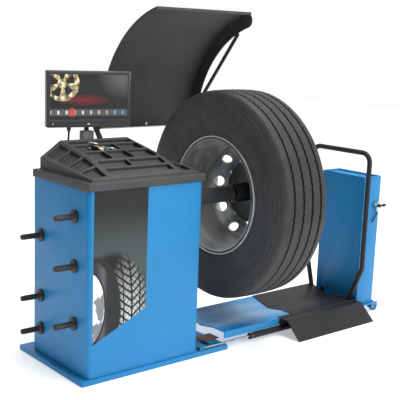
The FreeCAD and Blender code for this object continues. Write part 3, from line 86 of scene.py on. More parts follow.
class BalancerPaint(bpy.types.PropertyGroup):
    blue: FloatVectorProperty(
        name="Cabinet blue", description="Powder coat of the cabinet, base and lift", subtype="COLOR",
        size=4, min=0, max=1, default=colour("#217FB9"))
    charcoal: FloatVectorProperty(
        name="Charcoal", description="Moulded tray and hood", subtype="COLOR",
        size=4, min=0, max=1, default=colour("#38383A"))
    black: FloatVectorProperty(
        name="Black", description="Powder coat of the platform, ramp and hoop", subtype="COLOR",
        size=4, min=0, max=1, default=colour("#202023"))
    silver: FloatVectorProperty(
        name="Wheel silver", description="Enamel of the truck rim", subtype="COLOR",
        size=4, min=0, max=1, default=colour("#9A9690"))


class BalancerTray(bpy.types.PropertyGroup):
    grain: FloatProperty(
        name="Moulding fineness", description="Size of the finest detail in the moulded tray",
        unit="LENGTH", min=0.001, max=0.01, default=0.0028)
    rounding: IntProperty(
        name="Rounding", description="How soft the moulded edges are", min=0, max=12, default=3)
    weights: IntProperty(
        name="Loose weights", description="Balancing weights lying in the rear pockets", min=0, max=40, default=26)


class BalancerWheel(bpy.types.PropertyGroup):
    steps: IntProperty(
        name="Steps round", description="Facets round the tyre", min=96, max=720, default=400)
    groove: FloatProperty(
        name="Groove depth", description="Depth of the tread grooves", unit="LENGTH",
        min=0.004, max=0.016, default=0.012)
    zigzag: FloatProperty(
        name="Groove zigzag", description="Sideways swing of the groove edges", unit="LENGTH",
        min=0, max=0.004, default=0.002)


# ---------------------------------------------------------------- nodes and meshes

def add(tree, kind, *values, out=None, stops=(), **settings):
    """Adds a node with its settings and links, and gives the output named, or the first one in use.

    The inputs in use are filled in order. A setting that starts with a capital names an input.
    """
    node = tree.nodes.new("ShaderNode" + kind)
    for key in [key for key in settings if key[0].islower()]:
        setattr(node, key, settings.pop(key))
    filled = list(zip([socket for socket in node.inputs if socket.enabled], values))
    for socket, value in filled + [(node.inputs[key], value) for key, value in settings.items()]:
        if isinstance(value, bpy.types.NodeSocket):
            tree.links.new(value, socket)
        else:
            socket.default_value = value
    for index, (position, tone) in enumerate(stops):
        if index == len(node.color_ramp.elements):
            node.color_ramp.elements.new(position)
        node.color_ramp.elements[index].position = position
        node.color_ramp.elements[index].color = tone
    return node.outputs[out] if out else next(socket for socket in node.outputs if socket.enabled)


def blank(name):
    """A new material, its node tree and its surface shader."""
    material = bpy.data.materials.new(name)
    material.use_nodes = True
    tree = material.node_tree
    return material, tree, tree.nodes["Principled BSDF"]


def grain(tree, size, detail=2.0, stretch=(1, 1, 1)):
    """Noise whose marks are about size metres across."""
    spread = add(tree, "Mapping", Scale=stretch, Vector=add(tree, "TexCoord", out="Object"))
    return add(tree, "TexNoise", Scale=1 / size, Detail=detail, Roughness=0.55, Vector=spread)


def shade(base, share):
    """A colour made lighter (share over 1) or darker."""
    return tuple(min(1.0, c * share) for c in base[:3]) + (1.0,)


def oval(tree, u, v, centre, radii, edge=0.02):
    """1 inside an ellipse and 0 outside, with a soft edge."""
    du = add(tree, "Math", add(tree, "Math", u, centre[0], operation="SUBTRACT"), radii[0], operation="DIVIDE")
    dv = add(tree, "Math", add(tree, "Math", v, centre[1], operation="SUBTRACT"), radii[1], operation="DIVIDE")
    reach = add(tree, "Math", add(tree, "Math", add(tree, "Math", du, du, operation="MULTIPLY"),
        add(tree, "Math", dv, dv, operation="MULTIPLY"), operation="ADD"), operation="SQRT")
    return add(tree, "MapRange", reach, 1 + edge, 1 - edge)


def mottled(tree, base, size, detail, dark, light):
    """The base colour, clouded between its dark and light shares with marks of one size."""
    return add(tree, "ValToRGB", grain(tree, size, detail),
        stops=[(0.3, shade(base, dark)), (0.7, shade(base, light))])


def dress(tree, shader, tint, marks, low, high):
    """Gives a shader its colour, and a roughness that its marks vary from low to high."""
    tree.links.new(tint, shader.inputs["Base Color"])
    tree.links.new(add(tree, "MapRange", marks, 0.3, 0.7, low, high), shader.inputs["Roughness"])


def new_piece(name, points, faces, material, body, smooth=35):
    """A mesh object that rides on a body, smooth except at edges sharper than smooth degrees."""
    mesh = bpy.data.meshes.new(name)
    mesh.from_pydata([tuple(p) for p in points], [], faces)
    mesh.validate()
    piece = bpy.data.objects.new(name, mesh)
    return finish_piece(piece, material, body, smooth)


def finish_piece(piece, material, body, smooth=35):
    bpy.context.scene.collection.objects.link(piece)
    mesh = piece.data
    work = bmesh.new()
    work.from_mesh(mesh)
    bmesh.ops.recalc_face_normals(work, faces=work.faces)
    work.to_mesh(mesh)
    work.free()
    mesh.materials.clear()
    mesh.materials.append(material)
    mesh.shade_smooth()
    mesh.set_sharp_from_angle(angle=math.radians(smooth))
    if body:
        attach(piece, body)
    return piece


def lathe(outline, start, way, steps=48):
    """Points and faces of an outline of (along, radius) turned about the line from start along way."""
    way = Vector(way).normalized()
    side = way.orthogonal().normalized()
    up = way.cross(side)
    points, faces = [], []
    for i in range(steps):
        turn = 2 * math.pi * i / steps
        out = side * math.cos(turn) + up * math.sin(turn)
        points += [Vector(start) + way * along + out * radius for along, radius in outline]
    count = len(outline)
    for i in range(steps):
        for j in range(count - 1):
            a, b = i * count + j, (i + 1) % steps * count + j
            faces.append((a, b, b + 1, a + 1))
    for j in (0, count - 1):
        if outline[j][1] > 1e-6:
            faces.append([i * count + j for i in range(steps)])
    return points, faces


def joined(shapes):
    """Several (points, faces) as one."""
    points, faces = [], []
    for more_points, more_faces in shapes:
        first = len(points)
        points += more_points
        faces += [[first + k for k in face] for face in more_faces]
    return points, faces


def tube_along(path, radius, steps=20):
    """Points and faces of a round tube along a list of points."""
    points, faces = [], []
    side = None
    for i, centre in enumerate(path):
        way = (path[min(i + 1, len(path) - 1)] - path[max(i - 1, 0)]).normalized()
        side = way.orthogonal().normalized() if side is None else (side - way * side.dot(way)).normalized()
        up = way.cross(side)
        for k in range(steps):
            turn = 2 * math.pi * k / steps
            points.append(centre + (side * math.cos(turn) + up * math.sin(turn)) * radius)
    for i in range(len(path) - 1):
        for k in range(steps):
            a, b = i * steps + k, i * steps + (k + 1) % steps
            faces.append((a, b, b + steps, a + steps))
    faces.append(list(range(steps)))
    faces.append([(len(path) - 1) * steps + k for k in range(steps)])
    return points, faces


def copy_of(nodes, name):
    """One unlinked object that holds copies of the nodes' meshes, welded."""
    work = bmesh.new()
    for node in nodes:
        work.from_mesh(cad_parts[node].data)
    bmesh.ops.remove_doubles(work, verts=work.verts, dist=1e-5)
    mesh = bpy.data.meshes.new(name)
    work.to_mesh(mesh)
    work.free()
    return bpy.data.objects.new(name, mesh)


def applied(piece):
    """Bakes the piece's modifiers into its mesh."""
    bpy.context.scene.collection.objects.link(piece)
    bpy.context.view_layer.update()
    ready = piece.evaluated_get(bpy.context.evaluated_depsgraph_get())
    mesh = bpy.data.meshes.new_from_object(ready)
    piece.modifiers.clear()
    piece.data = mesh
    bpy.context.scene.collection.objects.unlink(piece)
    return piece


def eased(name, nodes, width, material, body, segments=2, smooth=40):
    """Stands for nodes, with their flat faces cleaned up and their edges rounded by width."""
    piece = copy_of(nodes, name)
    work = bmesh.new()
    work.from_mesh(piece.data)
    bmesh.ops.dissolve_limit(work, angle_limit=math.radians(0.6), verts=work.verts, edges=work.edges)
    work.to_mesh(piece.data)
    work.free()
    rounding = piece.modifiers.new("edges", "BEVEL")
    rounding.width = width
    rounding.segments = segments
    rounding.limit_method = "ANGLE"
    rounding.angle_limit = math.radians(38)
    rounding.use_clamp_overlap = True
    finish_piece(applied(piece), material, body, smooth)
    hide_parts(*nodes)
    return piece


def paint_nodes(material, *nodes):
    for node in nodes:
        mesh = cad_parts[node].data
        mesh.materials.clear()
        mesh.materials.append(material)


# ---------------------------------------------------------------- finishes

def powder_coated_steel(name, base, gloss=0.42, peel=0.0025, sheen=0.3):
    """Baked polyester powder on sheet steel: an even colour with soft highlights and a faint orange peel."""
    material, tree, shader = blank(name)
    dress(tree, shader, mottled(tree, base, 0.35, 3, 0.93, 1.05), grain(tree, 0.08, 4), gloss - 0.05,
        gloss + 0.07)
    shader.inputs["IOR"].default_value = 1.5
    shader.inputs["Specular IOR Level"].default_value = sheen
    # Orange peel is about 1.5 mm across; it is drawn a little coarser so that it shows.
    tree.links.new(add(tree, "Bump", Strength=0.35, Distance=0.00012, Height=grain(tree, peel, 2)),
        shader.inputs["Normal"])
    return material


def moulded_abs(name, base, grit=0.0018, rough=0.55, pocket_shade_reach=0.0):
    """Vacuum formed ABS with a fine leather grain: a dull sheen that breaks up highlights."""
    material, tree, shader = blank(name)
    tint = mottled(tree, base, 0.12, 4, 0.85, 1.12)
    if pocket_shade_reach:
        # Painted shade: the colour darkens in the pockets where ambient occlusion finds them, and the edges round
        # them keep the clouded base colour.
        pocket_occlusion = add(tree, "AmbientOcclusion", samples=8, Distance=pocket_shade_reach, out="AO")
        tint = add(tree, "Mix", add(tree, "MapRange", pocket_occlusion, 0.5, 0.92), shade(base, 0.3), tint,
            data_type="RGBA")
    dress(tree, shader, tint, grain(tree, 0.02, 3), rough - 0.06, rough + 0.08)
    shader.inputs["IOR"].default_value = 1.46
    cells = add(tree, "TexVoronoi", Scale=1 / grit, Vector=add(tree, "TexCoord", out="Object"))
    tree.links.new(add(tree, "Bump", Strength=0.5, Distance=0.00025, Height=cells), shader.inputs["Normal"])
    return material


def gloss_abs(name, base, rough=0.16):
    """Injection moulded, polished ABS: near black with clear reflections and fine wiping marks."""
    material, tree, shader = blank(name)
    tint = mottled(tree, base, 0.09, 3, 0.85, 1.15)
    dress(tree, shader, tint, grain(tree, 0.004, 3, (1, 1, 12)), rough, rough + 0.12)
    return material


def turned_steel(name, base, rough=0.28, pitch=0.0012):
    """Bright steel bar, turned and ground: metal with fine rings round the bar."""
    material, tree, shader = blank(name)
    shader.inputs["Metallic"].default_value = 1.0
    # Tool marks are under 0.2 mm apart; they are drawn at about a millimetre so that they show.
    rings = grain(tree, pitch, 2, (1, 0.02, 0.02))
    dress(tree, shader, mottled(tree, base, 0.03, 4, 0.82, 1.1), rings, rough - 0.06, rough + 0.12)
    tree.links.new(add(tree, "Bump", Strength=0.4, Distance=0.00008, Height=rings), shader.inputs["Normal"])
    return material


def zinc_plated_steel(name, base=colour("#B4B6B4")):
    """Zinc plated fasteners and fittings: a pale, slightly mottled metal."""
    material, tree, shader = blank(name)
    shader.inputs["Metallic"].default_value = 0.9
    spangle = add(tree, "TexVoronoi", Scale=1 / 0.004, Vector=add(tree, "TexCoord", out="Object"))
    tint = add(tree, "ValToRGB", spangle, stops=[(0.0, shade(base, 1.1)), (0.8, shade(base, 0.8))])
    dress(tree, shader, tint, grain(tree, 0.01, 2), 0.25, 0.42)
    return material


def wheel_enamel(name, base):
    """Silver stoving enamel on a pressed steel rim: a warm grey with road dust in the hollows, painted highlights
    low on the rim and on its lip, and a darker flange.
    """
    material, tree, shader = blank(name)
    shader.inputs["Metallic"].default_value = 0.2
    along, radius, turns = wheel_place(tree)
    dust = grain(tree, 0.14, 5, (2.5, 1, 1))
    tint = add(tree, "ValToRGB", dust, stops=[(0.3, shade(base, 0.55)), (0.5, shade(base, 1.05)),
        (0.6, shade(base, 1.5)), (0.7, shade(base, 2.4))])
    # Painted highlight: the rim turns pale towards the wheel's foot, away from the hub, in bands along the spindle.
    foot = add(tree, "MapRange", add(tree, "Math", add(tree, "Math", turns, 0.27, operation="ADD"),
        operation="ABSOLUTE"), 0.3, 0.1)
    painted_barrel_highlight = add(tree, "Math", foot, add(tree, "MapRange", radius, 0.18, 0.225), operation="MULTIPLY")
    rings = add(tree, "MapRange", add(tree, "Math", along, 0.011, operation="PINGPONG"), 0.0, 0.011, 0.6, 1.0)
    tint = add(tree, "Mix", add(tree, "Math", painted_barrel_highlight, rings, operation="MULTIPLY"), tint, colour("#E6E3DA"),
        data_type="RGBA")
    # Painted highlight: a thin bright line on the outer lip; the flange below it is darker.
    darker_flange = add(tree, "MapRange", radius, 0.268, 0.273)
    tint = add(tree, "Mix", darker_flange, tint, colour("#4A4644"), data_type="RGBA")
    lip = add(tree, "MapRange", radius, 0.2812, 0.2825)
    tint = add(tree, "Mix", lip, tint, colour("#F4F2EE"), data_type="RGBA")
    dress(tree, shader, tint, grain(tree, 0.03, 4), 0.3, 0.52)
    tree.links.new(add(tree, "Bump", Strength=0.4, Distance=0.00012, Height=grain(tree, 0.003, 3)),
        shader.inputs["Normal"])
    return material


def bare_alloy(name, base):
    """Die cast and machined aluminium: a light grey metal with a satin skin."""
    material, tree, shader = blank(name)
    shader.inputs["Metallic"].default_value = 1.0
    dress(tree, shader, mottled(tree, base, 0.02, 4, 0.85, 1.1), grain(tree, 0.006, 3), 0.32, 0.5)
    tree.links.new(add(tree, "Bump", Strength=0.3, Distance=0.00008, Height=grain(tree, 0.0015, 2)),
        shader.inputs["Normal"])
    return material


def cured_rubber(name, base, rough=0.62):
    """Vulcanised rubber for belts, caster tyres and cable sleeves: dark, dull and slightly dusty."""
    material, tree, shader = blank(name)
    tint = mottled(tree, base, 0.015, 4, 0.75, 1.35)
    dress(tree, shader, tint, grain(tree, 0.01, 3), rough - 0.08, rough + 0.12)
    tree.links.new(add(tree, "Bump", Strength=0.4, Distance=0.0001, Height=grain(tree, 0.0012, 2)),
        shader.inputs["Normal"])
    return material


def wheel_place(tree):
    """Along the spindle, distance from it, and angle round it in turns, for a point of the wheel."""
    parts = add(tree, "SeparateXYZ", add(tree, "TexCoord", out="Object")).node.outputs
    along, across, up = (
        add(tree, "Math", parts[axis], middle, operation="SUBTRACT") for axis, middle in zip("XYZ", SPINDLE))
    turns = add(tree, "Math", add(tree, "Math", up, across, operation="ARCTAN2"), 2 * math.pi, operation="DIVIDE")
    square = add(tree, "CombineXYZ", across, up)
    radius = add(tree, "VectorMath", square, operation="LENGTH")
    return along, radius, turns


def tyre_rubber(name):
    """Carbon black tyre rubber, moulded: a dull sidewall with fine rings and a darker, slitted tread."""
    material, tree, shader = blank(name)
    along, radius, turns = wheel_place(tree)
    worn = add(tree, "MapRange", radius, 0.496, 0.501)
    cloud = grain(tree, 0.05, 5)
    side = add(tree, "ValToRGB", cloud, stops=[(0.3, colour("#353230")), (0.7, colour("#423F3C"))])
    tread = add(tree, "ValToRGB", cloud, stops=[(0.3, colour("#201E1C")), (0.7, colour("#2E2C29"))])
    # Sipes stand about 9 mm apart round the tread, drawn at 16 mm so that they show, and cut in from each groove;
    # they are painted near black, as painted shade inside the slits. Sidewall rings are about 3 mm apart.
    slit = add(tree, "MapRange", add(tree, "Math", turns, 0.5 / 200, operation="PINGPONG"), 0.0002, 0.0009)
    rib = add(tree, "MapRange", add(tree, "Math", along, 0.028, operation="PINGPONG"), 0.011, 0.017)
    painted_sipe_shade = add(tree, "Math", add(tree, "Math", add(tree, "Math", 1.0, slit, operation="SUBTRACT"), rib,
        operation="MULTIPLY"), worn, operation="MULTIPLY")
    skin = add(tree, "Mix", add(tree, "Math", painted_sipe_shade, 0.8, operation="MULTIPLY"),
        add(tree, "Mix", worn, side, tread, data_type="RGBA"), colour("#0B0B0B"), data_type="RGBA")
    dress(tree, shader, skin, grain(tree, 0.02, 3), 0.55, 0.72)
    ridge = add(tree, "Math", add(tree, "Math", radius, 0.0015, operation="PINGPONG"), 120.0,
        operation="MULTIPLY")
    height = add(tree, "Math", add(tree, "Math", slit, worn, operation="MULTIPLY"), ridge, operation="ADD")
    tree.links.new(add(tree, "Bump", Strength=0.5, Distance=0.0006, Height=height), shader.inputs["Normal"])
    return material


def printed_film(name):
    """Printed vinyl film: a grey fade over a picture of a road tyre on a light alloy wheel."""
    material, tree, shader = blank(name)
    parts = add(tree, "SeparateXYZ", add(tree, "TexCoord", out="Object")).node.outputs
    u, v = parts["X"], parts["Z"]
    ground = add(tree, "ValToRGB", add(tree, "MapRange", v, 0.25, 0.82),
        stops=[(0.0, colour("#1E2021")), (0.42, colour("#434E4D")), (0.62, colour("#3B4444")),
            (0.85, colour("#1F2122")), (1.0, colour("#1B1C1D"))])
    # The tread's V grooves stand about 34 mm apart and meet at a centre groove, which bows away from mid height.
    rise = add(tree, "Math", v, 0.30, operation="SUBTRACT")
    bow = add(tree, "Math", add(tree, "Math", rise, rise, operation="MULTIPLY"), 0.45, operation="MULTIPLY")
    lean = add(tree, "Math", add(tree, "Math", add(tree, "Math", u, 0.078, operation="ADD"), bow,
        operation="ADD"), operation="ABSOLUTE")
    slope = add(tree, "Math", v, add(tree, "Math", lean, -0.8, operation="MULTIPLY"), operation="ADD")
    wobble = add(tree, "Math", grain(tree, 0.03, 3), 0.012, operation="MULTIPLY")
    bars = add(tree, "Math", add(tree, "Math", slope, wobble, operation="ADD"), 0.017, operation="PINGPONG")
    cuts = add(tree, "MapRange", bars, 0.0042, 0.007)
    centre = add(tree, "MapRange", lean, 0.003, 0.006)
    ribs = add(tree, "MapRange", add(tree, "Math", add(tree, "Math", lean, wobble, operation="ADD"), 0.024,
        operation="PINGPONG"), 0.002, 0.0045)
    sipes = add(tree, "MapRange", add(tree, "Math", add(tree, "Math", u, slope, operation="ADD"), 0.0045,
        operation="PINGPONG"), 0.0, 0.0025, 0.55, 1.0)
    across = add(tree, "Math", v, add(tree, "Math", lean, 1.1, operation="MULTIPLY"), operation="ADD")
    nicks = add(tree, "MapRange", add(tree, "Math", add(tree, "Math", across, wobble, operation="ADD"), 0.013,
        operation="PINGPONG"), 0.001, 0.004, 0.2, 1.0)
    sipes = add(tree, "Math", sipes, nicks, operation="MULTIPLY")
    blocks = add(tree, "Math", add(tree, "Math", cuts, centre, operation="MULTIPLY"),
        add(tree, "Math", ribs, sipes, operation="MULTIPLY"), operation="MULTIPLY")
    lit = add(tree, "Math", blocks, oval(tree, u, v, (-0.085, 0.22), (0.076, 0.2), 0.8), operation="MULTIPLY")
    tread = add(tree, "Mix", lit, colour("#101010"), colour("#D9DBDB"), data_type="RGBA")
    scored = add(tree, "MapRange", add(tree, "Math", v, 0.0042, operation="PINGPONG"), 0.0, 0.0042)
    shoulder = add(tree, "Mix", scored, colour("#0C0C0D"), colour("#2C2D2E"), data_type="RGBA")
    wall = add(tree, "ValToRGB", add(tree, "MapRange", u, -0.26, -0.14),
        stops=[(0.0, colour("#2C2C2D")), (0.3, colour("#56585B")), (0.45, colour("#26272A")),
            (0.8, colour("#171718")), (0.86, colour("#8A8C8E")), (0.92, colour("#1C1C1D"))])
    gaps = add(tree, "MapRange", grain(tree, 0.05, 2, (1, 1, 0.6)), 0.53, 0.57)
    spokes = add(tree, "Mix", gaps, colour("#F8FAFB"), colour("#7C7F82"), data_type="RGBA")
    # From the back: the tread, its shoulder, the sidewall, the rim's dark edge and the spokes.
    picture = ground
    for centre, radii, edge, layer in (
            ((-0.185, 0.298), (0.186, 0.258), 0.06, tread),
            ((-0.27, 0.31), (0.135, 0.238), 0.03, shoulder),
            ((-0.285, 0.32), (0.112, 0.212), 0.02, wall),
            ((-0.304, 0.329), (0.094, 0.168), 0.015, colour("#1D1D1E")),
            ((-0.304, 0.329), (0.086, 0.158), 0.015, spokes)):
        picture = add(tree, "Mix", oval(tree, u, v, centre, radii, edge), picture, layer, data_type="RGBA")
    dress(tree, shader, picture, grain(tree, 0.01, 3), 0.45, 0.6)
    shader.inputs["Specular IOR Level"].default_value = 0.3
    return material


def lit_screen(name, centre, turn, width, height):
    """A lit display behind a clear coat: a dark picture with a gold wheel, a red streak and a row of buttons."""
    material, tree, shader = blank(name)
    shift = add(tree, "VectorMath", add(tree, "TexCoord", out="Object"), tuple(centre), operation="SUBTRACT")
    square = add(tree, "VectorRotate", rotation_type="Z_AXIS", Angle=-turn, Vector=shift)
    parts = add(tree, "SeparateXYZ", square).node.outputs
    u = add(tree, "MapRange", parts["X"], -width / 2, width / 2, 0.0, width / height)
    v = add(tree, "MapRange", parts["Z"], -height / 2, height / 2)
    glow = oval(tree, u, v, (1.66, 0.98), (0.3, 0.28), 0.95)
    picture = add(tree, "Mix", add(tree, "Math", glow, 0.45, operation="MULTIPLY"), colour("#0F1011"),
        colour("#77797C"), data_type="RGBA")
    # The gold wheel: a rim ring, five spokes and a hub.
    du, dv = add(tree, "Math", u, 0.27, operation="SUBTRACT"), add(tree, "Math", v, 0.8, operation="SUBTRACT")
    turns = add(tree, "Math", add(tree, "Math", dv, du, operation="ARCTAN2"), 2 * math.pi, operation="DIVIDE")
    spoke = add(tree, "MapRange", add(tree, "Math", add(tree, "Math", turns, 0.04, operation="ADD"), 0.1,
        operation="PINGPONG"), 0.048, 0.04)
    disc = oval(tree, u, v, (0.27, 0.8), (0.39, 0.39))
    ring = add(tree, "Math", disc, oval(tree, u, v, (0.24, 0.82), (0.315, 0.315)), operation="SUBTRACT")
    hub = oval(tree, u, v, (0.27, 0.8), (0.11, 0.11))
    metal = add(tree, "Math", add(tree, "Math", ring, hub, operation="MAXIMUM"),
        add(tree, "Math", spoke, disc, operation="MULTIPLY"), operation="MAXIMUM")
    shine = grain(tree, 0.02, 3)
    gold = add(tree, "ValToRGB", shine, stops=[(0.35, colour("#3F3823")), (0.5, colour("#9C8C5E")),
        (0.62, colour("#E6DDBF"))])
    picture = add(tree, "Mix", add(tree, "Math", metal, 1.0, operation="MINIMUM"), picture, gold,
        data_type="RGBA")
    streak = add(tree, "Math", oval(tree, u, v, (0.78, 0.44), (0.36, 0.07), 0.9), 0.7, operation="MULTIPLY")
    picture = add(tree, "Mix", streak, picture, colour("#7E1119"), data_type="RGBA")
    # The tool bar: nine small marks, one of them a large red button.
    bar = add(tree, "Math", add(tree, "MapRange", v, 0.24, 0.23), add(tree, "MapRange", v, 0.085, 0.095),
        operation="MULTIPLY")
    picture = add(tree, "Mix", add(tree, "Math", bar, 0.75, operation="MULTIPLY"), picture, colour("#55585A"),
        data_type="RGBA")
    cell = add(tree, "Math", add(tree, "Math", u, 0.01, operation="ADD"), 0.095, operation="PINGPONG")
    mark = add(tree, "Math", add(tree, "MapRange", cell, 0.03, 0.02),
        add(tree, "Math", add(tree, "MapRange", v, 0.21, 0.2), add(tree, "MapRange", v, 0.12, 0.13),
            operation="MULTIPLY"), operation="MULTIPLY")
    marks = add(tree, "ValToRGB", add(tree, "Math", u, width / height, operation="DIVIDE"),
        stops=[(0.2, colour("#C9CCC8")), (0.55, colour("#B9BBA6")), (0.7, colour("#A0A35E")),
            (0.9, colour("#5C8FD0"))])
    picture = add(tree, "Mix", mark, picture, marks, data_type="RGBA")
    picture = add(tree, "Mix", oval(tree, u, v, (0.5, 0.165), (0.08, 0.09), 0.25), picture, colour("#B5452E"),
        data_type="RGBA")
    tree.links.new(picture, shader.inputs["Emission Color"])
    shader.inputs["Emission Strength"].default_value = 0.3
    dress(tree, shader, picture, grain(tree, 0.05, 2), 0.18, 0.26)
    return material


def lacquered_board(name):
    """Glass fibre circuit board under green lacquer, with darker component shadows."""
    material, tree, shader = blank(name)
    cells = add(tree, "TexVoronoi", Scale=1 / 0.012, Vector=add(tree, "TexCoord", out="Object"))
    tint = add(tree, "ValToRGB", cells, stops=[(0.1, colour("#1B1D1C")), (0.3, colour("#1E5B34")),
        (0.9, colour("#2A7A47"))])
    dress(tree, shader, tint, grain(tree, 0.004, 2), 0.25, 0.45)
    return material


def studio_floor(name):
    """Seamless white paper, with the least unevenness."""
    material, tree, shader = blank(name)
    tint = add(tree, "ValToRGB", grain(tree, 2.5, 2), stops=[(0.3, colour("#F6F8F8")), (0.7, colour("#FCFDFD"))])
    tree.links.new(tint, shader.inputs["Base Color"])
    shader.inputs["Roughness"].default_value = 0.9
    shader.inputs["Specular IOR Level"].default_value = 0.1
    # Light behind the paper keeps it white under the object.
    tree.links.new(tint, shader.inputs["Emission Color"])
    shader.inputs["Emission Strength"].default_value = 0.42
    return material


# ---------------------------------------------------------------- cabinet

class BALANCER_OT_cabinet(bpy.types.Operator):
    """Cabinet, base plate, rear panel, printed film and pegs"""
    bl_idname = "balancer.cabinet"
    bl_label = "Cabinet"

    def execute(self, context):
        paint = context.scene.balancer_paint
        blue = powder_coated_steel("powder_coated_blue_steel", tuple(paint.blue))
        eased("cabinet_body", ["cabinet_shell"], 0.0008, blue, "machine")
        eased("base_pan", ["base_plate"], 0.0015, blue, "machine")
        dark = powder_coated_steel("powder_coated_dark_steel", colour("#434548"), 0.5)
        paint_nodes(blue, "rear_panel")
        paint_nodes(dark, "spindle_stand", "spindle_housing", "hinge_bracket")
        paint_nodes(zinc_plated_steel("zinc_plated_screws"), "panel_screws")
        paint_nodes(printed_film("printed_vinyl_film"), "front_graphic")
        moulded = moulded_abs("moulded_black_nylon", colour("#262628"), 0.002, 0.5)
        paint_nodes(moulded, "power_inlet", "encoder_pickup")
        paint_nodes(gloss_abs("moulded_red_switch_abs", colour("#8E1C17"), 0.25), "main_switch")
        paint_nodes(bare_alloy("cast_motor_alloy", colour("#8B8D90")), "motor_body")
        paint_nodes(bare_alloy("machined_pulley_alloy", colour("#C2C3C5")), "motor_pulley", "spindle_pulley")
        paint_nodes(cured_rubber("belt_rubber", colour("#1E1E1F")), "drive_belt")
        paint_nodes(lacquered_board("lacquered_circuit_board"), "control_board")
        paint_nodes(turned_steel("turned_sensor_brass", colour("#B59A5B")), "force_sensors")
        self.pegs()
        self.glands()
        return {"FINISHED"}

    def pegs(self):
        """Rubber sleeved pegs with a washer foot and a domed end."""
        low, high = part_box("storage_pegs")
        sleeve = cured_rubber("pegs_black_rubber", colour("#2B2624"), 0.5)
        foot = [(0, 0.0), (0, 0.0275), (0.0015, PEG_FOOT_RADIUS), (0.0085, PEG_FOOT_RADIUS), (0.01, 0.0275),
                (0.0105, 0.0165),
                (0.013, 0.0138), (0.017, 0.0125)]
        grip = [(0.03, 0.0125), (0.089, 0.0125), (0.09, 0.0112), (0.092, 0.0112), (0.093, 0.0122),
                (0.0965, 0.0115), (0.099, 0.009), (0.1, 0.005), (0.1, 0.0)]
        shapes = []
        near, far = low.y + PEG_FOOT_RADIUS, high.y - PEG_FOOT_RADIUS
        for y, heights in ((near, NEAR_PEG_HEIGHTS), (far, FAR_PEG_HEIGHTS)):
            shapes += [lathe(foot + grip, (high.x, y, z), (-1, 0, 0), 36) for z in heights]
        pegs = new_piece("sleeved_pegs", *joined(shapes), sleeve, "machine")
        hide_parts("storage_pegs")

    def glands(self):
        """Rubber grommets where the two monitor leads enter the rear panel."""
        rubber = cured_rubber("grommet_rubber", colour("#1F1F20"))
        outline = [(0.0, 0.0), (0.0, 0.012), (0.002, 0.0125), (0.004, 0.0115), (0.0048, 0.0075), (0.0095, 0.0062),
                   (0.0098, 0.0)]
        shapes = [lathe(outline, (end.x, 0.2247, end.z - 0.002), (0, 1, 0.25), 28)
                  for end in (VIDEO_LEAD[-1], POWER_LEAD[-1])]
        new_piece("lead_grommets", *joined(shapes), rubber, "machine")


# ---------------------------------------------------------------- weight tray

class BALANCER_OT_tray(bpy.types.Operator):
    """Moulded weight tray with its pockets, and the loose weights in it"""
    bl_idname = "balancer.tray"
    bl_label = "Weight tray"

    def execute(self, context):
        paint, tray = context.scene.balancer_paint, context.scene.balancer_tray
        piece = copy_of(["weight_tray", "tray_dividers"], "moulded_tray")
        mould = piece.modifiers.new("mould", "REMESH")
        mould.mode = "VOXEL"
        mould.voxel_size = tray.grain
        mould.adaptivity = 0.0
        soften = piece.modifiers.new("soften", "SMOOTH")
        soften.factor = 0.5
        soften.iterations = tray.rounding
        thin = piece.modifiers.new("thin", "DECIMATE")
        thin.ratio = 0.35
        # The tray's pockets get painted shade.
        abs_grain = moulded_abs("vacuum_formed_charcoal_abs", shade(tuple(paint.charcoal), 1.15), pocket_shade_reach=0.07)
        finish_piece(applied(piece), abs_grain, "machine", 60)
        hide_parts("weight_tray", "tray_dividers")
        self.loose_weights(piece, tray.weights)
        return {"FINISHED"}

    def loose_weights(self, tray, count):
        """Clip-on balancing weights, dropped in the rear pockets."""
        finishes = [
            (turned_steel("zinc_weight_gold", colour("#E2D3A0"), 0.4), "gold"),
            (powder_coated_steel("coated_weight_blue_grey", colour("#5F7C9C")), "slate"),
            (powder_coated_steel("coated_weight_green", colour("#2F8471")), "green"),
        ]
        chance = random.Random(7)
        shapes = {label: [] for _, label in finishes}
        for i in range(count):
            centre = Vector((chance.uniform(-0.085, 0.035), chance.uniform(0.07, 0.185), 1.1))
            hit, spot, normal = tray.ray_cast(centre, Vector((0, 0, -1)))[:3]
            if not hit or normal.z < 0.8:
                continue
            label = finishes[(0, 0, 1, 0, 2)[i % 5]][1]
            shapes[label].append(self.weight(spot + normal * 0.0045, normal, chance.uniform(0, math.pi), chance))
        for material, label in finishes:
            if shapes[label]:
                new_piece(f"loose_weights_{label}", *joined(shapes[label]), material, "machine")

    def weight(self, spot, normal, turn, chance):
        """One weight: a bar bent to the rim's curve, thinned towards its ends."""
        length, width, height = chance.uniform(0.028, 0.042), 0.011, 0.008
        along = Matrix.Rotation(turn, 3, normal) @ normal.orthogonal().normalized()
        across = normal.cross(along)
        points, faces = [], []
        rings = 9
        for i in range(rings):
            share = 2 * i / (rings - 1) - 1
            slim = max(0.25, 1 - abs(share) ** 4)
            centre = spot + along * share * length / 2 + across * 0.003 * share ** 2
            for k in range(8):
                angle = math.pi * (k + 0.5) / 4
                side = math.copysign(min(1, abs(math.cos(angle)) * 1.25), math.cos(angle))
                rise = math.copysign(min(1, abs(math.sin(angle)) * 1.25), math.sin(angle))
                points.append(centre + across * side * slim * width / 2 + normal * rise * slim * height / 2)
        for i in range(rings - 1):
            for k in range(8):
                a, b = i * 8 + k, i * 8 + (k + 1) % 8
                faces.append((a, b, b + 8, a + 8))
        faces += [list(range(8)), [(rings - 1) * 8 + k for k in range(8)]]
        return points, faces


# ---------------------------------------------------------------- monitor

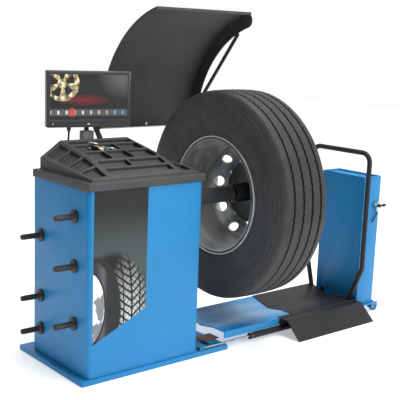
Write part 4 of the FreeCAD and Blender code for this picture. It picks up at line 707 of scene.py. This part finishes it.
VIDEO_LEAD = [Vector(p) * MM for p in (
    (-104, 262, 1020), (-104, 262, 985), (-107, 266, 942), (-110, 265, 898), (-108, 260, 856), (-103, 252, 820),
    (-100, 242, 800), (-100, 230.5, 792))]
POWER_LEAD = [Vector(p) * MM for p in (
    (38, 240, 1020), (38, 241, 985), (42, 250, 944), (50, 257, 903), (56, 256, 862), (57, 250, 826),
    (55, 241, 804), (54, 230, 796))]


def smooth_route(name, corners):
    """The smooth line of a lead, read from a NURBS spline on its control points."""
    data = bpy.data.curves.new(name, "CURVE")
    data.dimensions = "3D"
    spline = data.splines.new("NURBS")
    spline.points.add(len(corners) - 1)
    for point, corner in zip(spline.points, corners):
        point.co = (*corner, 1)
    spline.order_u = 3
    spline.use_endpoint_u = True
    spline.resolution_u = 12
    holder = bpy.data.objects.new(name, data)
    bpy.context.scene.collection.objects.link(holder)
    bpy.context.view_layer.update()
    mesh = bpy.data.meshes.new_from_object(holder.evaluated_get(bpy.context.evaluated_depsgraph_get()))
    route = [v.co.copy() for v in mesh.vertices]
    bpy.data.objects.remove(holder)
    bpy.data.meshes.remove(mesh)
    return route


class BALANCER_OT_monitor(bpy.types.Operator):
    """Monitor, its post and neck, and the two leads behind it"""
    bl_idname = "balancer.monitor"
    bl_label = "Monitor"

    def execute(self, context):
        case = gloss_abs("polished_black_abs", colour("#232325"), 0.22)
        eased("monitor_case", ["monitor_housing"], 0.002, case, "monitor_head", 3)
        low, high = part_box("monitor_screen")
        paint_nodes(lit_screen("lit_display", (low + high) / 2, MONITOR_TURN, *DISPLAY_SIZE), "monitor_screen")
        post = powder_coated_steel("powder_coated_grey_post", colour("#6A6C6F"), 0.4)
        eased("monitor_stand_post", ["monitor_post"], 0.0015, post, "machine")
        eased("monitor_stand_neck", ["monitor_neck"], 0.001, case, "monitor_swivel")
        skin = cured_rubber("pvc_lead_skin", colour("#1C1C1D"), 0.5)
        for name, node, corners, width in (
                ("video_lead", "video_cable", VIDEO_LEAD, 0.009),
                ("power_lead", "monitor_power_cable", POWER_LEAD, 0.007)):
            route = smooth_route(name + "_route", corners)
            lead = new_piece(name, *tube_along(route, width / 2), skin, None)
            tuple(route[0])
            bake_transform(lead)
            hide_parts(node)
            length = sum((b - a).length for a, b in zip(route, route[1:]))
            tuple(route[-1])
            [tuple(p) for p in reversed(route)]
        self.plugs(skin)
        self.trims(low, high)
        return {"FINISHED"}

    def trims(self, low, high):
        """A power light at the case's lower left and a pale trim at the middle of its lower edge."""
        way = Vector((math.cos(MONITOR_TURN), math.sin(MONITOR_TURN), 0))
        out = Vector((way.y, -way.x, 0))
        middle = Vector(((low.x + high.x) / 2, (low.y + high.y) / 2, low.z))
        pale = bare_alloy("brushed_trim_alloy", colour("#D4D6D8"))
        for name, across, drop, width, height in (("power_light", -0.172, 0.018, 0.004, 0.006),
                                                  ("case_trim", -0.004, 0.0185, 0.011, 0.0045)):
            centre = middle + way * across - Vector((0, 0, drop)) + out * 0.0012
            ring = [way * width + Vector((0, 0, height)), way * -width + Vector((0, 0, height)),
                    way * -width - Vector((0, 0, height)), way * width - Vector((0, 0, height))]
            points = [centre + step * 0.5 + out * lift for lift in (-0.0012, 0.0006) for step in ring]
            faces = [(3, 2, 1, 0), (4, 5, 6, 7)] + [(k, (k + 1) % 4, (k + 1) % 4 + 4, k + 4) for k in range(4)]
            new_piece(name, points, faces, pale, "monitor_head")

    def plugs(self, skin):
        """Moulded plugs under the monitor, which its leads leave."""
        outline = [(0.0, 0.0), (0.0, 0.0085), (0.002, 0.0095), (0.012, 0.0095), (0.015, 0.0065), (0.022, 0.0052),
                   (0.022, 0.0)]
        shapes = [lathe(outline, (lead[0].x, lead[0].y, 1.0268), (0, 0, -1), 24) for lead in (VIDEO_LEAD,
            POWER_LEAD)]
        new_piece("lead_plugs", *joined(shapes), skin, "monitor_head")


# ---------------------------------------------------------------- wheel

def tyre_outline(groove):
    """The tyre's outer section as (along, radius), from one bead to the other, and its inside back."""
    grooves = (-0.084, -0.028, 0.028, 0.084)
    crown, drop = 0.505, 0.0045
    side = [(0.1225, 0.2743), (0.1228, 0.286), (0.127, 0.2925), (0.1305, 0.298), (0.1315, 0.3045), (0.131, 0.307),
            (0.1365, 0.325), (0.1408, 0.347), (0.1436, 0.372), (0.145, 0.396), (0.1449, 0.401), (0.1438, 0.4035),
            (0.1446, 0.4065), (0.1444, 0.42), (0.1415, 0.44), (0.1398, 0.4415), (0.1404, 0.4445), (0.137, 0.4585),
            (0.1352, 0.4598), (0.1355, 0.4625), (0.131, 0.478), (0.1265, 0.49), (0.1225, 0.4965), (0.117, 0.4998)]
    top = []
    for x in reversed(grooves):
        level = crown - drop * (x / 0.121) ** 2
        top += [(x + 0.0065, level - 0.0002), (x + 0.0052, level - 0.0012), (x + 0.0042, level - groove),
                (x - 0.0042, level - groove), (x - 0.0052, level - 0.0012), (x - 0.0065, level - 0.0002)]
        if x > grooves[0]:
            top.append((x - 0.028, crown - drop * ((x - 0.028) / 0.121) ** 2))
    inside = [(-0.1, 0.272), (-0.1, 0.3), (-0.118, 0.35), (-0.121, 0.4), (-0.112, 0.45), (-0.08, 0.472),
        (0, 0.476),
              (0.08, 0.472), (0.112, 0.45), (0.121, 0.4), (0.118, 0.35), (0.1, 0.3), (0.1, 0.272)]
    return side + top + [(-x, r) for x, r in reversed(side)] + inside


class BALANCER_OT_wheel(bpy.types.Operator):
    """Tyre, rim, clamping parts and spindle"""
    bl_idname = "balancer.wheel"
    bl_label = "Wheel"

    def execute(self, context):
        paint, wheel = context.scene.balancer_paint, context.scene.balancer_wheel
        self.tyre(wheel)
        enamel = wheel_enamel("silver_wheel_enamel", tuple(paint.silver))
        paint_nodes(enamel, "truck_rim")
        bright = turned_steel("ground_spindle_steel", colour("#B9BABB"))
        paint_nodes(bright, "spindle_shaft", "hinge_axle", "guide_bars", "lift_rod", "travel_rod",
            "ramp_hinge_pin",
                    "encoder_disc", "spindle_bearings")
        dark = turned_steel("blackened_clamp_steel", colour("#56585A"), 0.4, 0.002)
        paint_nodes(dark, "backing_flange", "centring_cone")
        nut = powder_coated_steel("coated_nut_steel", colour("#46484A"))
        eased("quick_nut_body", ["quick_nut"], 0.0012, nut, "nut")
        self.valve(bright)
        return {"FINISHED"}

    def tyre(self, wheel):
        outline = tyre_outline(wheel.groove)
        steps = wheel.steps // 1
        count = len(outline)
        points, faces = [], []
        for i in range(steps):
            turn = 2 * math.pi * i / steps
            swing = wheel.zigzag * (1 - 4 * abs((i / steps * 100) % 1 - 0.5))
            for along, radius in outline:
                shift = swing if radius > 0.49 and abs(along) < 0.1 else 0
                points.append(SPINDLE + Vector((along + shift, radius * math.cos(turn), radius * math.sin(turn))))
            for j in range(count):
                a, b = i * count + j, i * count + (j + 1) % count
                c, d = (i + 1) % steps * count + (j + 1) % count, (i + 1) % steps * count + j
                faces.append((a, b, c, d))
        tyre = new_piece("moulded_tyre", points, faces, tyre_rubber("carbon_black_tyre_rubber"), "spindle", 32)
        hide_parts("truck_tyre")

    def valve(self, metal):
        """The tyre valve, bent up from the rim's inner side."""
        turn = math.radians(-20)
        out = Vector((0, math.cos(turn), math.sin(turn)))
        root = SPINDLE + Vector((-0.02, 0, 0)) + out * 0.236
        path = [root, root - out * 0.012, root - out * 0.02 + Vector((-0.01, 0, 0)),
                root - out * 0.024 + Vector((-0.055, 0, 0))]
        new_piece("tyre_valve", *tube_along(path, 0.004, 12), metal, "spindle")


# ---------------------------------------------------------------- hood

class BALANCER_OT_hood(bpy.types.Operator):
    """Raised wheel hood with its arm and brace"""
    bl_idname = "balancer.hood"
    bl_label = "Hood"

    def execute(self, context):
        paint = context.scene.balancer_paint
        skin = moulded_abs("moulded_charcoal_hood_abs", shade(tuple(paint.charcoal), 0.85), 0.0025, 0.62)
        paint_nodes(skin, "hood_shell")
        tube = powder_coated_steel("powder_coated_black_tube", tuple(paint.black), 0.4)
        paint_nodes(tube, "hood_arm", "hood_brace")
        paint_nodes(zinc_plated_steel("zinc_plated_hood_bolts"), "hood_bolts")
        self.lip_highlight_bead()
        return {"FINISHED"}

    def lip_highlight_bead(self):
        """A pale bead along the hood's lower lip, put there as a painted highlight on the lip's edge."""
        low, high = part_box("hood_shell")
        pale = bare_alloy("pale_lip_highlight_alloy", colour("#9DA0A3"))
        line = [Vector((x, 0.694, low.z + 0.0042)) for x in (low.x + 0.004, low.x + 0.3, high.x - 0.006)]
        new_piece("hood_lip_highlight_bead", *tube_along(line, 0.0038, 12), pale, "hood")


# ---------------------------------------------------------------- wheel lift

class BALANCER_OT_lift(bpy.types.Operator):
    """Rolling wheel lift with its table, ramp, hoop and column"""
    bl_idname = "balancer.lift"
    bl_label = "Wheel lift"

    def execute(self, context):
        paint = context.scene.balancer_paint
        blue = bpy.data.materials["powder_coated_blue_steel"]
        black = powder_coated_steel("powder_coated_black_steel", tuple(paint.black), 0.5)
        eased("column_body", ["lift_column"], 0.0012, blue, "lift")
        # The table's paint carries painted light: a lighter blue and a pale painted highlight along its middle.
        worn = self.table_paint(tuple(paint.blue), tuple(paint.black))
        eased("table_body", ["lift_table"], 0.0012, worn, "platform")
        eased("chassis_body", ["lift_chassis"], 0.001, blue, "lift")
        eased("platform_body", ["platform_plate"], 0.0012, black, "platform")
        eased("ramp_body", ["ramp_flap"], 0.001, black, "ramp")
        paint_nodes(black, "guard_hoop", "lift_carriage", "lift_cylinder", "travel_cylinder")
        teal = powder_coated_steel("powder_coated_teal_steel", colour("#1F6F8E"))
        eased("anchor_pad_blue", ["guide_block"], 0.002, teal, "machine")
        paint_nodes(teal, "rod_anchor")
        primer = powder_coated_steel("oxide_primed_steel", colour("#6A4A3E"), 0.6)
        eased("anchor_pad_brown", ["guide_shoe"], 0.0015, primer, "machine")
        tyre = cured_rubber("caster_rubber", colour("#33302E"), 0.55)
        paint_nodes(tyre, "outer_casters", "inner_rollers")
        fitting = zinc_plated_steel("zinc_plated_valve", colour("#D8DADA"))
        paint_nodes(fitting, "hand_valve")
        paint_nodes(cured_rubber("polyurethane_air_pipe", colour("#2A2A2C"), 0.4), "air_pipe")
        paint_nodes(moulded_abs("moulded_black_lever", colour("#222224")), "valve_lever")
        self.shutters(blue)
        self.hub_caps(fitting)
        self.gland(fitting)
        return {"FINISHED"}

    def table_paint(self, blue, black):
        """The table's blue, lightened as painted light and streaked pale along its middle as a painted highlight,
        with black hinge knuckles in front of the ramp.
        """
        # Painted light: the table's blue is a lighter copy of the cabinet blue.
        material = powder_coated_steel("powder_coated_highlit_table_steel", shade(blue, 1.15), 0.34)
        tree = material.node_tree
        shader = tree.nodes["Principled BSDF"]
        tint = shader.inputs["Base Color"].links[0].from_socket
        parts = add(tree, "SeparateXYZ", add(tree, "TexCoord", out="Object")).node.outputs
        x, y = parts["X"], parts["Y"]
        # Painted highlight: a pale, streaked band along the table's middle.
        middle_band = add(tree, "Math", add(tree, "MapRange", y, -0.17, -0.12), add(tree, "MapRange", y, 0.1, 0.04),
            operation="MULTIPLY")
        highlight_streaks = add(tree, "Math", middle_band, add(tree, "MapRange", grain(tree, 0.05, 4, (0.12, 1, 1)), 0.35, 0.65,
            0.25, 0.7), operation="MULTIPLY")
        tint = add(tree, "Mix", highlight_streaks, tint, colour("#9FB9CE"), data_type="RGBA")
        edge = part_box("ramp_flap")[0].x
        knuckle = add(tree, "Math", add(tree, "MapRange", x, edge - 0.001, edge),
            add(tree, "MapRange", y, -0.1855, -0.186), operation="MULTIPLY")
        tree.links.new(add(tree, "Mix", knuckle, tint, black, data_type="RGBA"), shader.inputs["Base Color"])
        return material

    def shutters(self, metal):
        """Sheet shutters inside the column, which close its slots above the carriage's arms."""
        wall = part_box("lift_column")[0].x + 0.0032
        points, faces = [], []
        for y in (-0.183, 0.017):
            ring = [(wall, y - 0.016), (wall, y + 0.016), (wall + 0.0012, y + 0.016), (wall + 0.0012, y - 0.016)]
            first = len(points)
            for z in (0.098, 0.21):
                points += [Vector((x, side, z)) for x, side in ring]
            faces += [[first + k for k in face] for face in (
                (0, 1, 2, 3), (4, 5, 6, 7), (0, 1, 5, 4), (1, 2, 6, 5), (2, 3, 7, 6), (3, 0, 4, 7))]
        new_piece("slot_shutters", points, faces, metal, "platform")

    def hub_caps(self, metal):
        """Pressed caps on the outer casters."""
        low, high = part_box("outer_casters")
        x, z = (low.x + high.x) / 2, (low.z + high.z) / 2
        outline = [(0.0, 0.0), (0.0, 0.013), (0.0012, 0.0125), (0.0022, 0.009), (0.0022, 0.0)]
        shapes = []
        for face, way in CASTER_FACES:
            shapes.append(lathe(outline, (x, face, z), (0, way, 0), 28))
        new_piece("caster_caps", *joined(shapes), metal, "outer_wheels")

    def gland(self, metal):
        """The bright gland nut where the travel rod enters its cylinder."""
        low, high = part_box("travel_cylinder")
        centre = (low.x, (low.y + high.y) / 2, (low.z + high.z) / 2)
        outline = [(0.0002, 0.0075), (0.0, 0.0155), (0.0012, 0.0164), (0.016, 0.0164), (0.017, 0.016)]
        new_piece("rod_gland_nut", *lathe(outline, centre, (1, 0, 0), 6), metal, "lift", 20)


# ---------------------------------------------------------------- stage

AIM = Vector((0.5, 0.0, 0.5))
CAMERA_PLACE = (-2.1093, -3.0724, 1.4423)
# Heading from +Y towards +X, pitch and roll, in degrees.
CAMERA_ANGLES = (39.97, -10.72, 2.17)
CAMERA_LENS = 76.7


class BALANCER_OT_stage(bpy.types.Operator):
    """Pale floor, soft lights and the camera"""
    bl_idname = "balancer.stage"
    bl_label = "Stage"

    def execute(self, context):
        scene = context.scene
        scene.view_settings.view_transform = "Standard"
        scene.view_settings.look = "None"
        world = bpy.data.worlds.new("studio")
        world.use_nodes = True
        tree = world.node_tree
        background = tree.nodes["Background"]
        # The studio is white but for a dark curtain on the cabinet's left.
        way = add(tree, "TexCoord", out="Generated")
        leftward = add(tree, "VectorMath", way, (-0.97, -0.22, 0.0), operation="DOT_PRODUCT")
        curtain = add(tree, "MapRange", leftward, 0.0, 0.55)
        # The curtain shades the object, but the backdrop behind it stays white.
        seen = add(tree, "LightPath", out="Is Camera Ray")
        shading = add(tree, "Math", curtain, add(tree, "Math", 1.0, seen, operation="SUBTRACT"),
            operation="MULTIPLY")
        sky = add(tree, "Mix", shading, colour("#FCFDFD"), colour("#101113"), data_type="RGBA")
        tree.links.new(sky, background.inputs["Color"])
        background.inputs["Strength"].default_value = 1.0
        scene.world = world
        self.floor()
        self.lights()
        self.camera(scene)
        return {"FINISHED"}

    def floor(self):
        points = [(-12, -12, 0), (14, -12, 0), (14, 14, 0), (-12, 14, 0)]
        mesh = bpy.data.meshes.new("floor")
        mesh.from_pydata(points, [], [(0, 1, 2, 3)])
        mesh.materials.append(studio_floor("white_paper"))
        floor = bpy.data.objects.new("floor", mesh)
        floor.location.z = -0.0005
        bpy.context.scene.collection.objects.link(floor)

    def lights(self):
        for name, spot, size, power in (
                ("key", (1.2, -4.2, 2.9), 2.4, 85), ("top", (1.0, -0.6, 4.4), 2.4, 110),
                ("fill", (-2.2, -1.4, 3.6), 1.0, 16)):
            data = bpy.data.lights.new(name, "AREA")
            data.size = size
            data.energy = power
            light = bpy.data.objects.new(name, data)
            light.location = spot
            way = AIM - Vector(spot)
            light.rotation_euler = way.to_track_quat("-Z", "Y").to_euler()
            bpy.context.scene.collection.objects.link(light)

    def camera(self, scene):
        heading, pitch, roll = (math.radians(angle) for angle in CAMERA_ANGLES)
        ahead = Vector((math.sin(heading) * math.cos(pitch), math.cos(heading) * math.cos(pitch),
            math.sin(pitch)))
        level = Vector((math.cos(heading), -math.sin(heading), 0))
        upward = level.cross(ahead)
        right = level * math.cos(roll) + upward * math.sin(roll)
        up = upward * math.cos(roll) - level * math.sin(roll)
        data = bpy.data.cameras.new("camera")
        data.lens = CAMERA_LENS
        data.sensor_width = 36
        data.clip_end = 60
        camera = bpy.data.objects.new("camera", data)
        turn = Matrix((right, up, -ahead)).transposed().to_4x4()
        camera.matrix_world = Matrix.Translation(CAMERA_PLACE) @ turn
        scene.collection.objects.link(camera)
        scene.camera = camera


STEPS = (BALANCER_OT_stage, BALANCER_OT_monitor, BALANCER_OT_cabinet, BALANCER_OT_tray, BALANCER_OT_wheel,
         BALANCER_OT_hood, BALANCER_OT_lift)


class BALANCER_PT_panel(bpy.types.Panel):
    """Pieces of the wheel balancer"""
    bl_idname = "BALANCER_PT_panel"
    bl_label = "Wheel balancer"
    bl_space_type = "VIEW_3D"
    bl_region_type = "UI"
    bl_category = "Balancer"

    def draw(self, context):
        scene = context.scene
        for group in (scene.balancer_paint, scene.balancer_tray, scene.balancer_wheel):
            box = self.layout.box()
            for name in group.__annotations__:
                box.prop(group, name)
        for step in STEPS:
            self.layout.operator(step.bl_idname)


GROUPS = {"balancer_paint": BalancerPaint, "balancer_tray": BalancerTray, "balancer_wheel": BalancerWheel}
CLASSES = (*GROUPS.values(), *STEPS, BALANCER_PT_panel)


def register():
    for cls in CLASSES:
        bpy.utils.register_class(cls)
    for name, group in GROUPS.items():
        setattr(bpy.types.Scene, name, PointerProperty(type=group))


def unregister():
    for name in GROUPS:
        delattr(bpy.types.Scene, name)
    for cls in reversed(CLASSES):
        bpy.utils.unregister_class(cls)


def main():
    register()
    for step in STEPS:
        group, name = step.bl_idname.split(".")
        getattr(getattr(bpy.ops, group), name)()


if __name__ == "__main__":
    main()
